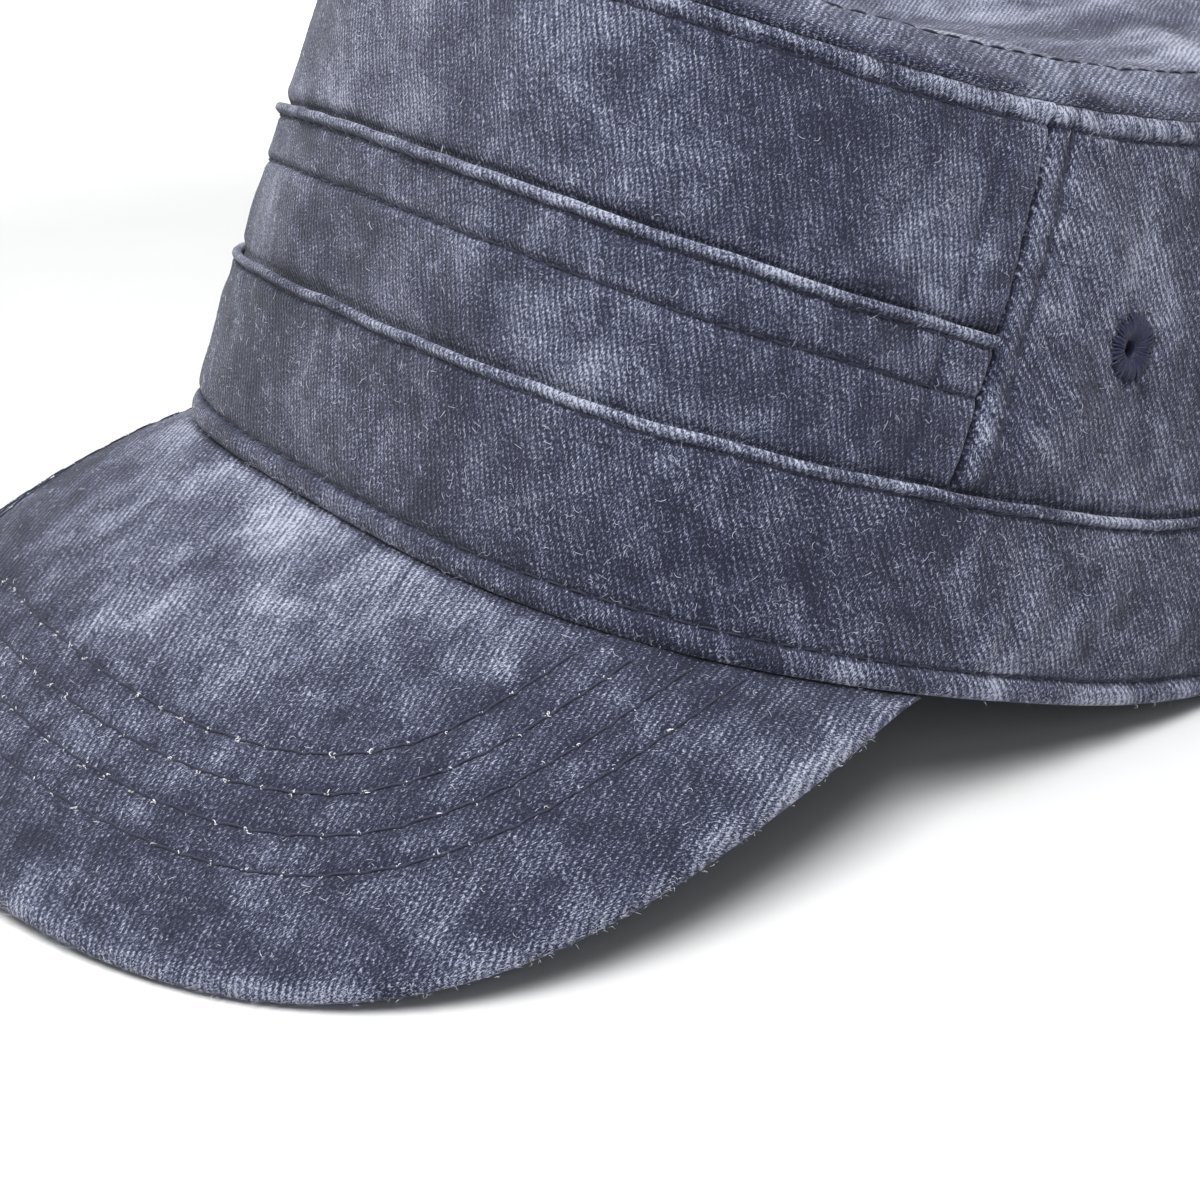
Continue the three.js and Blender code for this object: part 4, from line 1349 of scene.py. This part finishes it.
def washed_twill():
    """Navy twill, washed until its yarns and edges are pale, in soft clouds.

    Its cloth coordinates count ribs, so one pattern serves panels of every pitch.
    """
    material = bpy.data.materials.new("washed_twill")
    nodes = Nodes(material)
    cloth = nodes.add("ShaderNodeAttribute", attribute_name="cloth")
    worn = nodes.add("ShaderNodeAttribute", attribute_name="worn").outputs["Fac"]
    shade = nodes.add("ShaderNodeAttribute", attribute_name="shade").outputs["Fac"]
    place = nodes.add("ShaderNodeTexCoord").outputs["Object"]
    cloth = cloth.outputs["Vector"]
    apart = nodes.add("ShaderNodeSeparateXYZ")
    nodes.join(cloth, apart.inputs[0])

    wander = nodes.noise(cloth, 1 / 8, 2.0)
    across = nodes.sum("MULTIPLY_ADD", wander, 1.6, apart.outputs[0])
    wave = nodes.sum("SINE", nodes.sum("MULTIPLY", across, 2 * math.pi))
    crest = nodes.sum("MULTIPLY_ADD", wave, 0.5, 0.5)
    floats = nodes.noise(nodes.turned(cloth, FLOAT_LEAN, (0.18, 0.7, 1)), 1.0, 1.5, 0.5)
    grain = nodes.noise(nodes.scaled(cloth, (3.7, 3.1, 1)), 1.0, 2.0, 0.65)
    streaks = nodes.noise(nodes.scaled(cloth, (0.55, 0.1, 1)), 1.0, 2.0, 0.6)
    strands = nodes.noise(nodes.scaled(cloth, (0.8, 0.5, 1)), 1.0, 2.5, 0.6, 0.8)
    near_middle = nodes.sum("ABSOLUTE", nodes.sum("SUBTRACT", strands, 0.5))
    strand = nodes.eased(near_middle, 0.02, 0.0)
    patches = nodes.noise(nodes.scaled(cloth, (0.16, 0.16, 1)), 1.0, 2.0, 0.6)
    strand = nodes.sum("MULTIPLY", strand, nodes.eased(patches, 0.45, 0.7))

    clouds = nodes.noise(place, 1000 / 30, 2.5, 0.6)
    blotches = nodes.noise(place, 1000 / 10, 3.0, 0.65, 0.6)
    scuffs = nodes.eased(nodes.noise(place, 1000 / 5, 3.0, 0.7, 0.4), 0.56, 0.76)
    cloudy = nodes.sum("MULTIPLY_ADD", clouds, 1.1, -0.55)
    cloudy = nodes.sum("MULTIPLY_ADD", blotches, 1.35, nodes.sum("ADD", cloudy, -0.675))
    wear_and_shade = nodes.sum("ADD", nodes.sum("MULTIPLY_ADD", worn, 0.52, cloudy), 0.42)
    wear_and_shade = nodes.sum("MULTIPLY_ADD", scuffs, 0.22, nodes.sum("ADD", wear_and_shade, -0.02))
    # The shade attribute darkens the tone: painted shade along stitches, in creases, at the peak's root and on parts
    # of the walls, and the darker outer part of the peak.
    wear_and_shade = nodes.sum("MULTIPLY_ADD", shade, -0.42, wear_and_shade)

    depth = nodes.sum("MULTIPLY_ADD", nodes.sum("MAXIMUM", wear_and_shade, 0.0), 0.28, 0.19)
    ribs = nodes.sum("MULTIPLY", nodes.sum("SUBTRACT", crest, 0.5), depth)
    dash = nodes.sum("MULTIPLY", nodes.sum("SUBTRACT", floats, 0.5), nodes.sum("MULTIPLY_ADD", crest, 0.6, 0.9))
    tone = nodes.sum("MULTIPLY_ADD", wear_and_shade, 0.8, ribs)
    tone = nodes.sum("MULTIPLY_ADD", dash, 2.0, nodes.sum("ADD", tone, 0.04))
    tone = nodes.sum("MULTIPLY_ADD", grain, 2.0, nodes.sum("ADD", tone, -1.0))
    tone = nodes.sum("MULTIPLY_ADD", streaks, 0.5, nodes.sum("ADD", tone, -0.25))
    tone = nodes.sum("MULTIPLY_ADD", strand, 0.22, tone, clamp=True)
    colour = nodes.ramp(tone, [
        (0.0, (0.011, 0.013, 0.027)), (0.22, (0.027, 0.030, 0.056)), (0.44, (0.070, 0.077, 0.124)),
        (0.68, (0.158, 0.171, 0.238)), (0.86, (0.270, 0.285, 0.362)), (1.0, (0.385, 0.402, 0.48)),
    ])
    nodes.join(colour, nodes.shader.inputs["Base Color"])
    roughness = nodes.sum("MULTIPLY_ADD", tone, 0.1, 0.86)
    nodes.join(roughness, nodes.shader.inputs["Roughness"])
    nodes.shader.inputs["Specular IOR Level"].default_value = 0.2
    nodes.shader.inputs["Sheen Weight"].default_value = 0.12
    nodes.shader.inputs["Sheen Roughness"].default_value = 0.5
    height = nodes.sum("MULTIPLY_ADD", crest, 0.5, nodes.sum("MULTIPLY", floats, 1.1))
    height = nodes.sum("MULTIPLY_ADD", grain, 0.5, height)
    nodes.bump(height, 0.00016)
    return material


def plain_thread(name, dark, pale, roughness, sheen):
    """Spun thread: a twist along its length and slightly uneven dye."""
    material = bpy.data.materials.new(name)
    nodes = Nodes(material)
    place = nodes.add("ShaderNodeTexCoord").outputs["Object"]
    uneven = nodes.noise(place, 900, 3.0, 0.65)
    twist = nodes.noise(place, 3800, 2.0, 0.6)
    tone = nodes.sum("MULTIPLY_ADD", twist, 0.5, nodes.sum("MULTIPLY", uneven, 0.5))
    nodes.join(nodes.ramp(tone, [(0.3, dark), (0.72, pale)]), nodes.shader.inputs["Base Color"])
    nodes.shader.inputs["Roughness"].default_value = roughness
    nodes.shader.inputs["Sheen Weight"].default_value = sheen
    nodes.shader.inputs["Specular IOR Level"].default_value = 0.3
    nodes.bump(twist, 0.00008)
    return material


def floor_material():
    material = bpy.data.materials.new("pale_floor")
    nodes = Nodes(material)
    place = nodes.add("ShaderNodeTexCoord").outputs["Object"]
    from_cap = nodes.add("ShaderNodeVectorMath", operation="LENGTH")
    nodes.join(place, from_cap.inputs[0])
    far = nodes.eased(from_cap.outputs["Value"], 0.28, 0.62, 0.0, 1.0)
    nodes.shader.inputs["Emission Color"].default_value = (1, 1, 1, 1)
    nodes.join(far, nodes.shader.inputs["Emission Strength"])
    tone = nodes.noise(place, 40, 2.0)
    nodes.join(nodes.ramp(tone, [(0, (0.58, 0.58, 0.583)), (1, (0.6, 0.6, 0.603))]), nodes.shader.inputs["Base Color"])
    nodes.shader.inputs["Roughness"].default_value = 0.7
    nodes.shader.inputs["Specular IOR Level"].default_value = 0.1
    return material


# Studio

def add_floor():
    mesh = bpy.data.meshes.new("floor")
    size = 3
    mesh.from_pydata([(-size, -size, 0), (size, -size, 0), (size, size, 0), (-size, size, 0)], [], [(0, 1, 2, 3)])
    mesh.materials.append(floor_material())
    floor = bpy.data.objects.new("floor", mesh)
    floor.location.z = -0.0002
    bpy.context.scene.collection.objects.link(floor)


def add_softbox(name, place, target, size, watts, colour=(1, 1, 1)):
    light = bpy.data.lights.new(name, "AREA")
    light.energy = watts
    light.size = size
    light.color = colour
    softbox = bpy.data.objects.new(name, light)
    softbox.location = place
    softbox.rotation_euler = (Vector(place) - Vector(target)).to_track_quat("Z", "Y").to_euler()
    bpy.context.scene.collection.objects.link(softbox)


def add_studio():
    world = bpy.data.worlds.new("studio")
    world.use_nodes = True
    background = world.node_tree.nodes["Background"]
    background.inputs["Color"].default_value = (0.97, 0.98, 1, 1)
    lit = world.node_tree.nodes.new("ShaderNodeLightPath").outputs["Is Camera Ray"]
    strength = world.node_tree.nodes.new("ShaderNodeMapRange")
    strength.inputs["To Min"].default_value = 0.12
    strength.inputs["To Max"].default_value = 1.05
    world.node_tree.links.new(lit, strength.inputs["Value"])
    world.node_tree.links.new(strength.outputs[0], background.inputs["Strength"])
    bpy.context.scene.world = world
    middle = (0, 0.02, 0.06)
    add_softbox("overhead", (0.2, -0.3, 1.25), middle, 1.0, 32)
    add_softbox("front_left", (-1.1, -1.0, 0.6), middle, 1.0, 6, (1, 0.985, 0.93))
    add_softbox("right", (1.2, -0.75, 0.6), middle, 1.1, 5.5, (0.9, 0.95, 1))
    add_softbox("back", (-0.6, 1.4, 0.7), middle, 1.2, 6)
    bpy.context.scene.view_settings.view_transform = "Standard"


def add_camera():
    azimuth, elevation, roll = (math.radians(CAMERA[key]) for key in ("azimuth", "elevation", "roll"))
    away = Vector((
        math.sin(azimuth) * math.cos(elevation), -math.cos(azimuth) * math.cos(elevation), math.sin(elevation),
    ))
    level = Vector((math.cos(azimuth), math.sin(azimuth), 0))
    upright = away.cross(level)
    right = level * math.cos(roll) + upright * math.sin(roll)
    up = upright * math.cos(roll) - level * math.sin(roll)
    per_pixel = CAMERA["distance"] / FOCAL_PIXELS
    aside = (ORIGIN_PIXEL[0] - FRAME_PIXELS / 2) * per_pixel
    below = (ORIGIN_PIXEL[1] - FRAME_PIXELS / 2) * per_pixel
    place = away * CAMERA["distance"] - right * aside + up * below + Vector((0, MID_LENGTH, 0))
    camera = bpy.data.objects.new("camera", bpy.data.cameras.new("camera"))
    camera.data.sensor_width = SENSOR
    camera.data.lens = FOCAL_PIXELS * SENSOR / FRAME_PIXELS
    camera.data.clip_start = 0.01
    axes = Matrix((right, up, away)).transposed().to_4x4()
    camera.matrix_world = Matrix.Translation(place * METRE) @ axes
    bpy.context.scene.collection.objects.link(camera)
    bpy.context.scene.camera = camera


add_camera()
add_floor()
add_studio()

twill = washed_twill()
sewing_thread = plain_thread("sewing_thread", (0.007, 0.008, 0.018), (0.036, 0.041, 0.07), 0.8, 0.1)
satin_thread = plain_thread("satin_thread", (0.005, 0.006, 0.020), (0.026, 0.031, 0.072), 0.5, 0.05)
pale_fibre = plain_thread("pale_fibre", (0.3, 0.32, 0.4), (0.66, 0.68, 0.75), 0.9, 0.1)
bleached = plain_thread("bleached_fibre", (0.6, 0.61, 0.66), (0.88, 0.88, 0.9), 0.9, 0.1)

make_walls()
make_top()
needle_holes = peak_sewing()
make_peak(needle_holes)
make_stitches()
peak_tufts = make_peak_stitches(needle_holes)
make_fibres(peak_tufts)
make_fuzz()
make_eyelet(1, "eyelet_left_thread", "eyelet_left")
make_eyelet(-1, "eyelet_right_thread", "eyelet_right")
